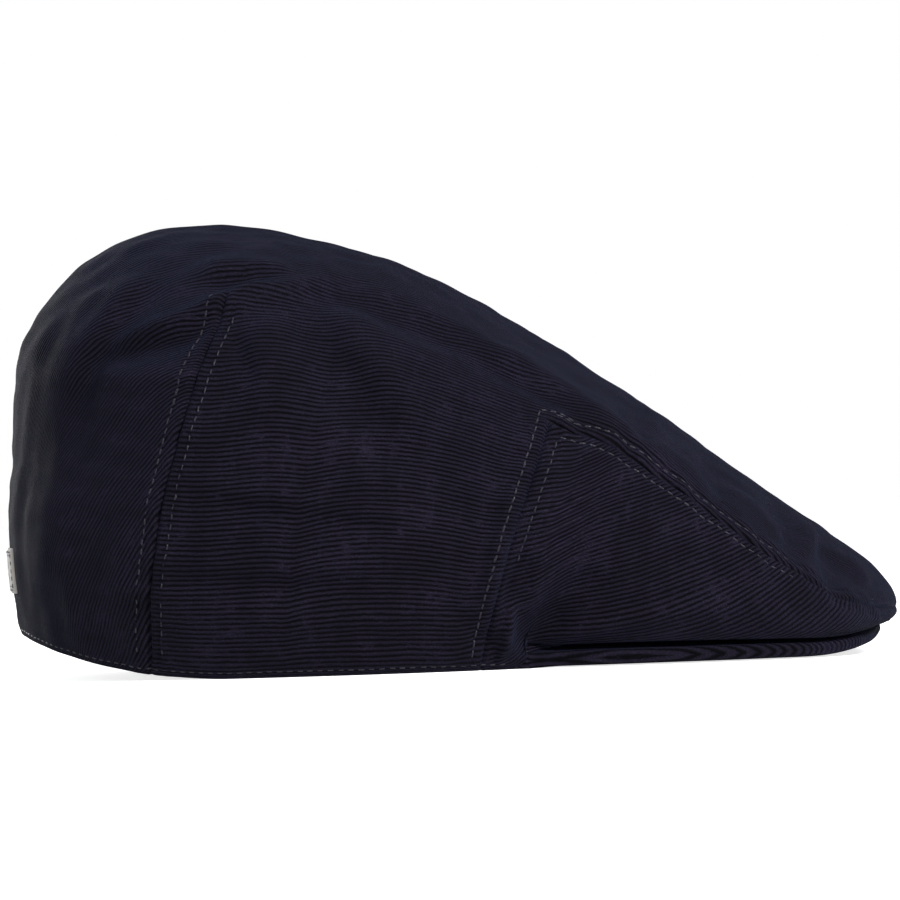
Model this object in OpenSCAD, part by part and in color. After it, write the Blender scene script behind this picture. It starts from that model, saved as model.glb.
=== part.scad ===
// Flat cap in fine corduroy: crown panel with two rear darts, horseshoe front band, stiffened brim,
// lining, sweatband, labels and topstitching. +X is the front, +Z is up, and the cap stands on Z = 0.

/* [Head opening] */
// Length of the opening inside the sweatband, front to back
head_length = 204; // [180:1:245]
// Width of the opening inside the sweatband
head_width = 164; // [140:1:200]
// How far the rim lifts off the table at the centre back
rear_rise = 14; // [6:1:22]
// How far the rim lifts off the table at the centre front
front_rise = 9.5; // [5:0.5:14]

/* [Crown] */
// Height of the crown above the table
crown_height = 139; // [115:1:170]
// Width of the crown at its widest, for a head opening of the middle size; it grows with the head's width
crown_width = 190; // [178:1:232]
// How far the crown bulges behind the rim
back_overhang = 3; // [2:0.5:8]
// How far the nose of the crown stands out in front of the brim
nose_overhang = 4.5; // [3:0.5:8]

/* [Brim] */
// Depth of the brim from the head opening to its tip
brim_depth = 55; // [45:1:66]
// Width of the brim at its widest, for a head opening of the middle size; it grows with the head's width
brim_width = 158; // [150:1:180]
// Height of the brim's tip above the table
brim_tip_lift = 6; // [2:0.5:8]
// Angle of the brim's rear corner around the head opening, from the front
brim_corner = 61.5; // [54:0.5:66]

/* [Cloth] */
// Thickness of the corduroy
corduroy_t = 1.3; // [0.8:0.1:1.8]
// Thickness of the front band's interlining
interlining_t = 0.5; // [0.3:0.1:0.9]
// Thickness of the lining
lining_t = 0.5; // [0.3:0.1:0.8]
// Thickness of the brim board
board_t = 1.6; // [1:0.1:2.4]
// How far the lining hangs clear of the crown
lining_ease = 4; // [3:0.5:6]
// Clearance between neighbouring layers
layer_gap = 0.25; // [0.1:0.05:0.4]

/* [Headband] */
// Height of the sweatband
sweatband_h = 32; // [20:1:42]
// Thickness of the sweatband
sweatband_t = 1; // [0.6:0.1:1.5]
// Height of the stay tape in the rim
tape_h = 10; // [6:1:16]
// Thickness of the stay tape
tape_t = 0.4; // [0.3:0.1:0.8]

/* [Labels] */
// Width of the woven label at the back
back_label_w = 38; // [24:1:50]
// Height of the woven label at the back
back_label_h = 14; // [8:1:20]
// Thickness of every label
label_t = 0.7; // [0.4:0.1:1.2]
// Height of the back label's lower edge above the rim
back_label_lift = 13; // [6:1:20]
// Size of the square label sewn inside the crown
lining_label_size = 44; // [30:1:56]
// Width of the care label
care_label_w = 22; // [15:1:30]
// Height of the care label above the sweatband
care_label_h = 20; // [12:1:28]

/* [Stitching] */
// Length of one stitch with its gap
stitch_pitch = 4; // [3:0.5:6]
// Thickness of the thread
thread_d = 0.5; // [0.3:0.1:0.8]
// Distance of each topstitch row from its seam
stitch_offset = 3.7; // [2.5:0.1:5]

/* [Hidden] */

navy = "#20222f";
thread_navy = "#3c4056";
lining_navy = "#191b24";
label_grey = "#b9b4ac";

// Stack of layers in the headband, from the head outwards.
tape_r = sweatband_t + layer_gap;
lining_r = tape_r + tape_t + layer_gap;
wall_t = lining_r + lining_t + layer_gap + corduroy_t;
rim_a = head_length / 2 + wall_t;
rim_b = head_width / 2 + wall_t;

// The crown and the brim are graded: they widen as much as the head opening does.
middle_head_width = 164;
width_grade = (head_width - middle_head_width) / 2;
crown_half = crown_width / 2 + width_grade;
brim_half = brim_width / 2 + width_grade;
side_fullness = crown_half - rim_b; // how far the crown bulges out beyond the rim at each side

cap_length = 2 * rim_a + brim_depth + back_overhang + nose_overhang;
head_x = -cap_length / 2 + back_overhang + rim_a;
brim_tip_x = head_x + rim_a + brim_depth;
brim_t = 2 * corduroy_t + board_t + 2 * layer_gap;

// Stations run round one side, from the nose (0) to the centre back (10).
corner_station = 5;
seam_station = 6;
dart_station = 8;
back_station = 10;
rim_angles = [0, 12, 24, 37, 49, brim_corner, 70, 94, 127, 152, 180];
steps = 4; // lattice columns between two stations
wall_rows = 3; // lattice rows between two rails of the wall
top_rows = 6; // lattice rows between the shoulder and the spine

// ---------- curves ----------

function unit(v) = v / max(norm(v), 1e-9);
function flip_y(p) = [p.x, -p.y, p.z];
function lerp(a, b, t) = a + (b - a) * t;

// A smooth curve through points p at whole values of u, with the ghost points before and after it.
function through(p, u, before, after) =
    let (
        last = len(p) - 1,
        k = min(max(floor(u), 0), last - 1),
        t = u - k,
        p0 = k == 0 ? before : p[k - 1],
        p3 = k == last - 1 ? after : p[k + 2]
    )
    p[k] + t * ((p[k + 1] - p0) / 2
        + t * ((2 * p0 - 5 * p[k] + 4 * p[k + 1] - p3) / 2
        + t * (3 * p[k] - p0 - 3 * p[k + 1] + p3) / 2));

// The same for a rail that crosses the middle of the cap at both ends.
function rail(p, u) = through(p, u, flip_y(p[1]), flip_y(p[len(p) - 2]));

function hermite(a, b, ta, tb, t) =
    let (l = norm(b - a))
    a * (1 - t) * (1 - t) * (1 + 2 * t) + b * t * t * (3 - 2 * t)
        + l * (ta * t * (1 - t) * (1 - t) - tb * t * t * (1 - t));

// ---------- rim and brim edge ----------

// Height of the rim's lower edge at an angle from the front.
rear_start = 0.3; // cosine behind the middle at which the rim begins to rise
rear_curve = 2.4;
function rim_z(angle) =
    angle < brim_corner
        ? front_rise * (1 - pow(angle / brim_corner, 2))
        : rear_rise * pow(max(0, (-cos(angle) - rear_start) / (1 - rear_start)), rear_curve);

// A point at depth d inside the rim's outer face.
function rim_point(angle, d, z) = [head_x + (rim_a - d) * cos(angle), (rim_b - d) * sin(angle), z];
function angle_at(u) = through(rim_angles, u, -rim_angles[1], 360 - rim_angles[back_station - 1]);
// A point z above the rim at a station, at depth d.
function at_rim(u, d, z) = let (angle = angle_at(u)) rim_point(angle, d, rim_z(angle) + z);

brim_curve_share = 0.335; // share of the cap's length over which the brim's sides curve in
brim_shoulder_x = brim_tip_x - brim_curve_share * cap_length;
brim_power = 2 / 2.8; // squareness of the brim's outline
brim_turns = [0, 22, 42, 61, 83];
corner_reach = 1.5; // how far the brim's rear corner stands out from the rim
brim_edge_lift = [1, 0.5, 0.06, 0.03, 0.03]; // share of the tip's lift at each station
brim_edge = [
    for (k = [0:corner_station - 1]) [
        brim_shoulder_x + (brim_tip_x - brim_shoulder_x) * pow(cos(brim_turns[k]), brim_power),
        brim_half * pow(sin(brim_turns[k]), brim_power),
        brim_tip_lift * brim_edge_lift[k],
    ],
    at_rim(corner_station, -corner_reach, 0),
];

// The level direction square to a rail, away from the head.
function outward(p, u) =
    let (d = rail(p, u + 0.01) - rail(p, u - 0.01))
    u == back_station ? [-1, 0, 0] : unit([d.y, -d.x, 0]);

// ---------- crown rails ----------

// Percent of the cap's length from the back, half width, and height.
function place(f) = [
    (f[0] / 100 - 0.5) * cap_length, f[1] / 100 * crown_half, f[2] / 100 * crown_height
];

fold_gap = [0.7, 0.8, 1.2, 1.6, 2.2, 2.3]; // daylight between the band's fold and the brim
fold_reach = [2, 2, 1.6, 1.2, 1, 0]; // how far the fold stands out over the brim's edge
fold_rail = [
    for (k = [0:corner_station])
        brim_edge[k] + [0, 0, brim_t + fold_gap[k]]
            + fold_reach[k] * unit([brim_edge[k].x - brim_shoulder_x, brim_edge[k].y, 0])
];

// The widest line of the crown, halfway up its wall.
middle_rail = [
    for (f = [
        [100, 0, 8.4], [98.4, 37.5, 8.2], [93.9, 63, 9.6], [84.8, 80, 13.7], [73, 88.4, 21.6],
        [62.6, 92, 25.9], [56.2, 95.8, 24.5], [39, 100, 33], [18.5, 86, 39], [5.2, 51, 42], [0.2, 0, 45]
    ]) place(f)
];

// The shoulder: the front band's upper seam, then the line from its corner to the tip of the rear dart.
shoulder_rail = [
    for (f = [
        [100, 0, 9.9], [98.1, 36.2, 10.4], [93.2, 60.5, 13.3], [84.8, 74.7, 23.7], [74.3, 79.5, 39.2],
        [67, 80.6, 49], [61.3, 81, 53.2], [43.4, 82, 70.5], [26.6, 68, 82.7], [12.2, 42, 85.5], [4.6, 0, 82]
    ]) place(f)
];

// The spine over the top, from the nose to the highest point.
spine_rail = [
    for (f = [
        [100, 0, 9.9], [98.1, 0, 18.3], [92.8, 0, 26.8], [84, 0, 39.4], [73.8, 0, 54.7],
        [67.2, 0, 63.7], [61.3, 0, 72.1], [46.8, 0, 88.6], [34.6, 0, 96.7], [27.6, 0, 99.4], [23.7, 0, 100]
    ]) place(f)
];
spine_before = place([98.1, 0, -0.5]);
spine_after = place([17, 0, 99]);

// Rows cross the spine square to it, and swing round to meet it at the back.
function spine_turn(u) = let (t = max(0, (u - 7) / 3)) 90 * t * t * (3 - 2 * t);

// A point on a rib: v is 0 at the edge, 1 at the middle, 2 at the shoulder and 3 at the spine. An
// upright rib leaves its edge straight up.
function rib(e, m, q, s, upright, u, v) =
    let (
        tm = unit(unit(m - e) + unit(q - m)),
        tq = unit(unit(q - m) + unit(s - q)),
        te = upright ? [0, 0, 1] : unit(2 * unit(m - e) - tm),
        ts = [sin(spine_turn(u)), -cos(spine_turn(u)), 0]
    )
    v <= 1 ? hermite(e, m, te, tm, v)
        : v <= 2 ? hermite(m, q, tm, tq, v - 1)
        : hermite(q, s, tq, ts, v - 2);

// The crown's lower edge: a fold over the brim's outline, then the rim itself behind the brim's corner.
corner_foot = at_rim(corner_station, 0, 0);
// Where the fold would run on to behind the corner.
fold_end = [corner_foot.x - 12, corner_foot.y + 5, fold_rail[corner_station].z];
function crown_edge(u) =
    u <= corner_station ? through(fold_rail, u, flip_y(fold_rail[1]), fold_end) : at_rim(u, 0, 0);

function crown_point(u, v) = rib(
    crown_edge(u), rail(middle_rail, u), rail(shoulder_rail, u),
    through(spine_rail, u, spine_before, spine_after), false, u, v
);

function crown_normal(u, v) =
    let (
        a = crown_point(min(u + 0.02, back_station), v) - crown_point(max(u - 0.02, 0), v),
        b = crown_point(u, min(v + 0.02, 3)) - crown_point(u, max(v - 0.02, 0))
    )
    unit(cross(a, b));

// ---------- lining rails ----------

lining_depth = wall_t - lining_r - lining_t;
lining_lift = 1; // height of the lining's cut edge above the rim
// The lining follows the crown at the sides and back, and stands up from the headband at the front.
function inset(p, u) = rail(p, u) - lining_ease * outward(p, u);
front_wall = 20; // height to which the lining stands straight over the headband's front
lean_share = 0.11;
front_lean = lean_share * side_fullness; // how far the lining leans out between the headband and that height
front_shoulder = [
    [80, 0, 34], [79.3, 17, 34.5], [77, 33.5, 36], [73, 49, 38.5], [67.5, 62.5, 42], [61.5, 71, 47.5]
];
front_spine = [[80, 0, 34], [78.5, 0, 40], [75.5, 0, 47], [71.5, 0, 54], [67, 0, 60.5], [63, 0, 66]];
lining_before = place([80, 0, 28]);
lining_after = place([17, 0, 96]);
lining_middle = [
    for (k = [0:corner_station]) at_rim(k, lining_depth - front_lean, front_wall),
    for (k = [seam_station:back_station]) inset(middle_rail, k),
];
lining_shoulder = [
    for (f = front_shoulder) place(f),
    for (k = [seam_station:back_station]) inset(shoulder_rail, k) - [0, 0, lining_ease / 2],
];
lining_spine = [
    for (f = front_spine) place(f),
    for (k = [seam_station:back_station]) spine_rail[k] - [0, 0, lining_ease],
];

function lining_point(u, v) = rib(
    at_rim(u, lining_depth, lining_lift), rail(lining_middle, u), rail(lining_shoulder, u),
    through(lining_spine, u, lining_before, lining_after), true, u, v
);

// ---------- sheets ----------

function same(a, b) = norm(a - b) < 1e-4;
function neighbour(g, r, c) = g[min(max(r, 0), len(g) - 1)][min(max(c, 0), len(g[0]) - 1)];

// The nearest row at or below r whose neighbours stand apart, where rows run together in one point.
function open_row(g, r, c) =
    same(neighbour(g, r + 1, c), neighbour(g, r - 1, c)) && r > 0 ? open_row(g, r - 1, c) : r;

// The normal at a lattice point. Columns 0 and last lie in the mirror plane where "welded" says so.
function grid_normal(g, row, c, welded) =
    let (
        r = open_row(g, row, c),
        first = c == 0 && welded[0],
        last = c == len(g[0]) - 1 && welded[1],
        far_row = len(g) - 1 - r,
        ahead = last ? g[far_row][c - 1] : neighbour(g, r, c + 1),
        behind = first ? g[far_row][1] : neighbour(g, r, c - 1),
        across = neighbour(g, r + 1, c) - neighbour(g, r - 1, c),
        n = cross(ahead - behind, across)
    )
    first || last ? unit([n.x, 0, n.z]) : unit(n);

function offset_grid(g, d, welded) =
    d == 0 ? g : [
        for (r = [0:len(g) - 1]) [for (c = [0:len(g[0]) - 1]) g[r][c] - d * grid_normal(g, r, c, welded)]
    ];

// A sheet of cloth between two lattices of points. keep(r, c) says which cells are cloth, and welded
// says at which ends the two halves of the sheet meet in the mirror plane.
module sheet(outer, inner, keep, welded) {
    rows = len(outer);
    cols = len(outer[0]);
    points = concat([for (row = outer) each row], [for (row = inner) each row]);
    function at(r, c) = r * cols + c;
    function in(r, c) = r * cols + c + rows * cols;
    function kept(r, c) = r >= 0 && c >= 0 && r < rows - 1 && c < cols - 1 && keep(r, c);
    skins = [
        for (r = [0:rows - 2], c = [0:cols - 2]) if (keep(r, c)) each [
            [at(r, c), at(r + 1, c + 1), at(r, c + 1)],
            [at(r, c), at(r + 1, c), at(r + 1, c + 1)],
            [in(r, c), in(r, c + 1), in(r + 1, c + 1)],
            [in(r, c), in(r + 1, c + 1), in(r + 1, c)],
        ]
    ];
    edges = [
        for (r = [0:rows - 2], c = [0:cols - 2]) if (keep(r, c)) each [
            if (!kept(r - 1, c)) [in(r, c), at(r, c), at(r, c + 1), in(r, c + 1)],
            if (!kept(r + 1, c)) [in(r + 1, c), in(r + 1, c + 1), at(r + 1, c + 1), at(r + 1, c)],
            if (!kept(r, c - 1) && !(c == 0 && welded[0])) [in(r, c), in(r + 1, c), at(r + 1, c), at(r, c)],
            if (!kept(r, c + 1) && !(c == cols - 2 && welded[1]))
                [in(r, c + 1), at(r, c + 1), at(r + 1, c + 1), in(r + 1, c + 1)],
        ]
    ];
    faces = concat(skins, [for (q = edges) each [[q[0], q[1], q[2]], [q[0], q[2], q[3]]]]);
    polyhedron(points, [
        for (f = faces)
            if (!same(points[f[0]], points[f[1]]) && !same(points[f[1]], points[f[2]])
                && !same(points[f[0]], points[f[2]]))
                f
    ]);
}

// Rib positions from the left edge over the spine to the right edge, for a crown or a lining.
half_rows = concat(
    [for (j = [0:2 * wall_rows - 1]) j / wall_rows],
    [for (j = [0:top_rows]) 2 + j / top_rows]
);
spine_row = len(half_rows) - 1;
shoulder_row = 2 * wall_rows;
all_rows = 2 * spine_row;
columns = back_station * steps;

function over(point, row, u) =
    row <= spine_row ? point(u, half_rows[row]) : flip_y(point(u, half_rows[all_rows - row]));

function lattice(point) = [for (r = [0:all_rows]) [for (c = [0:columns]) over(point, r, c / steps)]];
crown_grid = lattice(function (u, v) crown_point(u, v));
lining_grid = lattice(function (u, v) lining_point(u, v));

function is_top(r) = r >= shoulder_row && r < all_rows - shoulder_row;
function is_left(r) = r < shoulder_row;

module layer(grid, from, to, keep) {
    sheet(offset_grid(grid, from, [true, true]), offset_grid(grid, to, [true, true]), keep, [true, true]);
}

// ---------- crown ----------

module crown_panel() {
    color(navy)
        layer(crown_grid, 0, corduroy_t, function (r, c) is_top(r) || c >= seam_station * steps);
}

// The band runs from the shoulder seam down to a fold over the brim, then back under to the headband.
under_rows = 3; // lattice rows in the turned-under part
under_lift = 1; // height of its cut edge over the brim
function band_point(row, u) =
    row >= under_rows ? crown_point(u, half_rows[row - under_rows])
        : lerp(at_rim(u, -layer_gap, brim_t + under_lift), crown_point(u, 0), row / under_rows);
band_last = under_rows + shoulder_row;
band_rows = 2 * band_last + 1;
band_columns = seam_station * steps;
band_grid = [
    for (r = [0:band_rows]) [
        for (c = [0:band_columns])
            r <= band_last ? band_point(r, c / steps) : flip_y(band_point(band_rows - r, c / steps))
    ]
];

// The visible face shares the crown's normals, so that the two meet along the seam.
function band_layer(d) =
    let (own = offset_grid(band_grid, d, [true, false]), shell = offset_grid(crown_grid, d, [true, true]))
    [
        for (r = [0:band_rows]) let (h = min(r, band_rows - r) - under_rows) [
            for (c = [0:band_columns])
                h > 0 || (h == 0 && c == band_columns)
                    ? (r <= band_last ? shell[h][c] : flip_y(shell[h][c]))
                    : own[r][c]
        ]
    ];

module band_sheet(from, to, first_row) {
    function half_row(r) = r <= band_last ? r : band_rows - 1 - r;
    sheet(
        band_layer(from), band_layer(to),
        function (r, c) r != band_last && half_row(r) >= first_row
            && (half_row(r) >= under_rows || c < corner_station * steps),
        [true, false]
    );
}

module front_band() {
    color(navy) band_sheet(0, corduroy_t, 0);
}

module front_band_interlining() {
    color("dimgray") band_sheet(corduroy_t, corduroy_t + interlining_t, under_rows + 1);
}

// ---------- brim ----------

brim_steps = 5; // lattice rows from the headband to the brim's edge
brim_columns = corner_station * steps;
// Height z and distance t from the headband (0) to the edge (1), at a signed column.
function brim_point(c, t, z) =
    let (
        u = abs(c) / steps,
        root = at_rim(u, -layer_gap, 0),
        edge = through(brim_edge, u, flip_y(brim_edge[1]), fold_end - [0, 0, fold_end.z]),
        p = lerp(root, edge, t) + [0, 0, z]
    )
    c < 0 ? flip_y(p) : p;

// A layer of the brim between heights low and high. A cover also wraps round the board's edge, from
// lip_low to lip_high.
module brim_layer(low, high, lip_low, lip_high, margin) {
    inner = [for (r = [0:brim_steps]) r / brim_steps * (1 - margin)];
    wraps = lip_high > lip_low;
    spans = wraps ? [each inner, 1] : inner;
    last = len(spans) - 1;
    function face(level, lip) = [
        for (r = [0:last]) [
            for (c = [0:2 * brim_columns])
                brim_point(brim_columns - c, spans[r], wraps && r == last ? lip : level)
        ]
    ];
    sheet(face(high, lip_high), face(low, lip_low), function (r, c) true, [false, false]);
}

board_low = corduroy_t + layer_gap;
board_high = board_low + board_t;
edge_margin = 0.05; // share of the brim's depth that the board stays back from the edge
edge_round = 1; // how far each cover rounds over at the edge
seam_z = (board_low + board_high) / 2; // the covers meet halfway up the board's edge

module brim_top_cover() {
    color(navy) brim_layer(board_high + layer_gap, brim_t, seam_z, brim_t - edge_round, edge_margin / 2);
}

module brim_board() {
    color("whitesmoke") brim_layer(board_low, board_high, 0, 0, 2 * edge_margin);
}

module brim_under_cover() {
    color(navy) brim_layer(0, corduroy_t, edge_round, seam_z, edge_margin / 2);
}

// ---------- lining ----------

module lining_top() {
    color(lining_navy) layer(lining_grid, 0, lining_t, function (r, c) is_top(r));
}

module lining_side_left() {
    color(lining_navy) lining_side(function (r) is_left(r));
}

module lining_side_right() {
    color(lining_navy) lining_side(function (r) r >= all_rows - shoulder_row);
}

module lining_side(on_side) {
    sheet(
        offset_grid(lining_grid, 0, [true, true]), offset_grid(lining_grid, lining_t, [true, true]),
        function (r, c) on_side(r), [false, false]
    );
}

// ---------- headband ----------

// A standing band round the opening, from depth d0 to d1 and from z0 to z1 above the rim. It runs from
// one lattice column to another, counted from the nose round the left side.
module ring_band(d0, d1, z0, z1, first, last) {
    closed = last - first == 2 * columns;
    function level(c, d, z) =
        c <= columns ? at_rim(c / steps, d, z) : flip_y(at_rim((2 * columns - c) / steps, d, z));
    outer = [for (z = [z0, z1]) [for (c = [first:last]) level(closed && c == last ? first : c, d0, z)]];
    inner = [for (z = [z0, z1]) [for (c = [first:last]) level(closed && c == last ? first : c, d1, z)]];
    sheet(outer, inner, function (r, c) true, [closed, closed]);
}

module sweatband() {
    color("black") ring_band(wall_t - sweatband_t, wall_t, 0, sweatband_h, 0, 2 * columns);
}

module rim_tape() {
    color("gainsboro")
        ring_band(wall_t - tape_r - tape_t, wall_t - tape_r, 0, tape_h, 0, 2 * columns);
}

// The care label stands up from the tape behind the sweatband, on the left side.
care_station = 7;
care_clearance = 1; // height of its lower edge over the tape
module care_label() {
    depth = wall_t - tape_r - tape_t;
    base = at_rim(care_station, 0, 0);
    color("white")
        translate([base.x - care_label_w / 2, base.y - depth - tape_t, tape_h + care_clearance])
            cube([care_label_w, tape_t, sweatband_h - tape_h + care_label_h - care_clearance]);
}

// ---------- labels ----------

label_steps = 8;
back_reach = middle_rail[back_station - 1].y * 1.28; // half width that the last station spans low down
back_inset = 0.03; // stations that a normal is taken in from the middle
// A point on the outside of the back, at distance y from the middle, height z and d off the cloth.
function on_back(y, z, d) =
    let (
        u = back_station - abs(y) / back_reach,
        v = (z - rear_rise) / (middle_rail[back_station].z - rear_rise),
        n = crown_normal(min(u, back_station - back_inset), v)
    )
    [crown_point(u, v).x + d * n.x, y, z];

// The back label lies on the outside of the crown, astride the middle.
module back_label() {
    low = rear_rise + back_label_lift;
    grid = function (d) [
        for (z = [low, low + back_label_h / 2, low + back_label_h]) [
            for (k = [0:label_steps]) on_back(back_label_w * (0.5 - k / label_steps), z, d)
        ]
    ];
    color(label_grey)
        sheet(grid(label_t + layer_gap), grid(layer_gap), function (r, c) true, [false, false]);
}

// The lining label lies under the top of the lining, astride the spine.
module lining_label() {
    from_u = 6.35; // station of its front edge
    slack = 1.04; // the spine slopes a little under the label
    station_span = lining_spine[seam_station].x - lining_spine[seam_station + 1].x;
    to_u = from_u + slack * lining_label_size / station_span;
    function p(u, y, depth) =
        let (
            s = lining_point(u, 3),
            reach = norm(s - lining_point(u, 2)),
            q = lining_point(u, 3 - abs(y) / reach),
            n = unit(cross(lining_point(u + 0.02, 2.97) - lining_point(u - 0.02, 2.97), [0, -1, 0]))
        )
        [q.x, q.y * sign(y), q.z] - depth * n;
    grid = function (depth) [
        for (r = [0:label_steps]) [
            for (c = [0:label_steps])
                p(lerp(from_u, to_u, c / label_steps), lining_label_size * (0.5 - r / label_steps), depth)
        ]
    ];
    near = lining_t + 2 * layer_gap;
    color(label_grey)
        sheet(grid(near), grid(near + label_t), function (r, c) true, [false, false]);
}

// ---------- stitching ----------

stitch_gap = 0.24; // share of each stitch's length that dips under the cloth
thread_sides = 6;
// One stitch from a to b: a short bar of thread lying on the cloth.
module stitch(a, b) {
    d = b - a;
    span = norm(d);
    translate(a + stitch_gap / 2 * d)
        rotate([0, acos(d.z / span), atan2(d.y, d.x)])
            cylinder(d = thread_d, h = (1 - stitch_gap) * span, $fn = thread_sides);
}

// A row of stitches along a curve of points p(t) for t from 0 to 1.
module stitch_row(p, length) {
    n = floor(length / stitch_pitch);
    color(thread_navy)
        for (k = [0:n - 1])
            stitch(p(k / n), p((k + 1) / n));
}

thread_clearance = 0.35;
thread_lift = thread_d / 2 + thread_clearance;
function on_crown(u, v) = crown_point(u, v) + thread_lift * crown_normal(u, v);

// Station distance that moves a point by mm along the crown at (u, v).
function station_step(u, v, mm) = mm / norm(crown_point(u + 0.1, v) - crown_point(u - 0.1, v)) * 0.2;
function rib_step(u, v, mm) = mm / norm(crown_point(u, v + 0.05) - crown_point(u, v - 0.05)) * 0.1;

seam_start = 0.14; // where the rows beside a rising seam begin, above the rim's own row
seam_bow = 1.04; // a rising seam is this much longer than the straight line between its ends
// Two rows of stitches beside a seam that runs up the rib at a station.
module seam_stitches(station, top, side) {
    length = norm(crown_point(station, top) - crown_point(station, seam_start)) * seam_bow;
    for (d = [-stitch_offset, stitch_offset])
        stitch_row(
            function (t)
                let (
                    v = lerp(seam_start, top, t),
                    q = on_crown(station + station_step(station, v, d), v)
                )
                side * q.y > 0 ? q : flip_y(q),
            length
        );
}

dart_top = 1.98; // the dart's rows end just under its tip
front_top = 1.93; // the front seam's rows end under the band's corner
module rear_dart_stitches_left() seam_stitches(dart_station, dart_top, 1);
module rear_dart_stitches_right() seam_stitches(dart_station, dart_top, -1);
module front_seam_stitches_left() seam_stitches(seam_station, front_top, 1);
module front_seam_stitches_right() seam_stitches(seam_station, front_top, -1);

// A point on the shoulder seam for s from -1 (right corner) to 1 (left corner), moved up or down by mm.
function seam_point(s, mm) =
    let (
        u = max(abs(s) * seam_station, 0.02),
        v = 2 + (mm > 0 ? rib_step(u, 2.06, mm) : rib_step(u, 1.94, mm)),
        q = on_crown(u, min(v, 2.9))
    )
    s < 0 ? flip_y(q) : q;

band_row_drop = 1.5; // distance of the row below the seam, which is narrow at the nose
band_row_end = 0.3; // where the row above the seam ends, short of the nose
module band_seam_stitches() {
    length = 2 * norm(shoulder_rail[seam_station] - shoulder_rail[0]);
    stitch_row(function (t) seam_point(lerp(-1, 1, t), -min(stitch_offset, band_row_drop)), length);
    for (side = [-1, 1])
        stitch_row(
            function (t) seam_point(side * lerp(1, band_row_end, t), stitch_offset),
            length / 2 * (1 - band_row_end)
        );
}

rim_row_v = 0.07; // how far up the ribs the rim's row lies
rim_row_start = 0.15; // stations between the front seam and its first stitch
rim_row_end = 0.02;
module rim_stitches() {
    stations = back_station - seam_station - rim_row_start - rim_row_end;
    length = head_length + head_width;
    stitch_row(
        function (t)
            let (
                s = lerp(-1, 1, t),
                u = seam_station + rim_row_start + (1 - abs(s)) * stations,
                q = on_crown(u, rim_row_v)
            )
            s < 0 ? flip_y(q) : q,
        length
    );
}

sweatband_row_z = 2; // height of the row that holds the sweatband to the rim
module sweatband_stitches() {
    length = PI / 4 * (head_length + head_width);
    for (side = [-1, 1])
        stitch_row(
            function (t)
                let (q = at_rim(back_station * t, wall_t + thread_lift, sweatband_row_z))
                side > 0 ? q : flip_y(q),
            length
        );
}

label_margin = 1.5; // distance of the label's stitches from its edge
label_row_gap = 1; // gap between two rows at a corner
module back_label_stitches() {
    low = rear_rise + back_label_lift + label_margin;
    high = low + back_label_h - 2 * label_margin;
    reach = back_label_w / 2 - label_margin;
    across = reach - label_row_gap;
    function on_label(y, z) = on_back(y, z, 0) - [label_t + layer_gap + thread_lift, 0, 0];
    for (y = [-reach, reach])
        stitch_row(function (t) on_label(y, lerp(low, high, t)), high - low);
    for (z = [low, high])
        stitch_row(function (t) on_label(lerp(-across, across, t), z), 2 * across);
}

// The tacks that hold the folded band down on the brim, hidden in the gap near the nose.
tack_columns = 5; // tacks on each side of the middle one
tack_share = 0.88; // share of the brim's depth at which they lie
tack_length = 1.8;
module brim_tack_stitches() {
    for (c = [-tack_columns:tack_columns])
        color(thread_navy)
            translate(brim_point(c, tack_share, brim_t + thread_d / 2 + thread_clearance / 2))
                rotate([0, 90, 0]) cylinder(d = thread_d, h = tack_length, $fn = thread_sides);
}

crown_panel();
front_band();
front_band_interlining();
brim_top_cover();
brim_board();
brim_under_cover();
lining_top();
lining_side_left();
lining_side_right();
sweatband();
rim_tape();
back_label();
lining_label();
care_label();
rear_dart_stitches_left();
rear_dart_stitches_right();
front_seam_stitches_left();
front_seam_stitches_right();
band_seam_stitches();
rim_stitches();
sweatband_stitches();
back_label_stitches();
brim_tack_stitches();
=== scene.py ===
import math

import bpy
import bmesh
import numpy as np
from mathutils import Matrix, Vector


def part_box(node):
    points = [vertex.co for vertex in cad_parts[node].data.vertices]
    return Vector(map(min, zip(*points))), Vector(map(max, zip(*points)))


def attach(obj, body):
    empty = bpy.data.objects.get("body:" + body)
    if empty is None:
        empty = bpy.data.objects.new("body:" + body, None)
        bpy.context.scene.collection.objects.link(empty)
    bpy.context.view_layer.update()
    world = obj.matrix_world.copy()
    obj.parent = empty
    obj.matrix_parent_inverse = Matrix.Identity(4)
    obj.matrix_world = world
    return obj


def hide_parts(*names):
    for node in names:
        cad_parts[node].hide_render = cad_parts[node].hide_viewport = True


bl_info = {
    "name": "Corduroy flat cap",
    "version": (1, 0, 0),
    "blender": (4, 5, 0),
    "location": "3D View > Sidebar > Flat cap",
    "description": "Makes up a lined corduroy flat cap with a stiffened brim and its topstitching",
    "category": "Object",
}

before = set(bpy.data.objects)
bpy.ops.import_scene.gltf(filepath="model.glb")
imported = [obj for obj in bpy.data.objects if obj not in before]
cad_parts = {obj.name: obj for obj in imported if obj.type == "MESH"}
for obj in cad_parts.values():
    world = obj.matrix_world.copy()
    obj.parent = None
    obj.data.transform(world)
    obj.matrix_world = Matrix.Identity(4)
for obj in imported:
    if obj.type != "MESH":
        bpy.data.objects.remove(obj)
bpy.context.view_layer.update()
MM = 0.001
BODY = "root"

# ------------------------------------------------------------------ pattern of the cap, in millimetres

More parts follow.
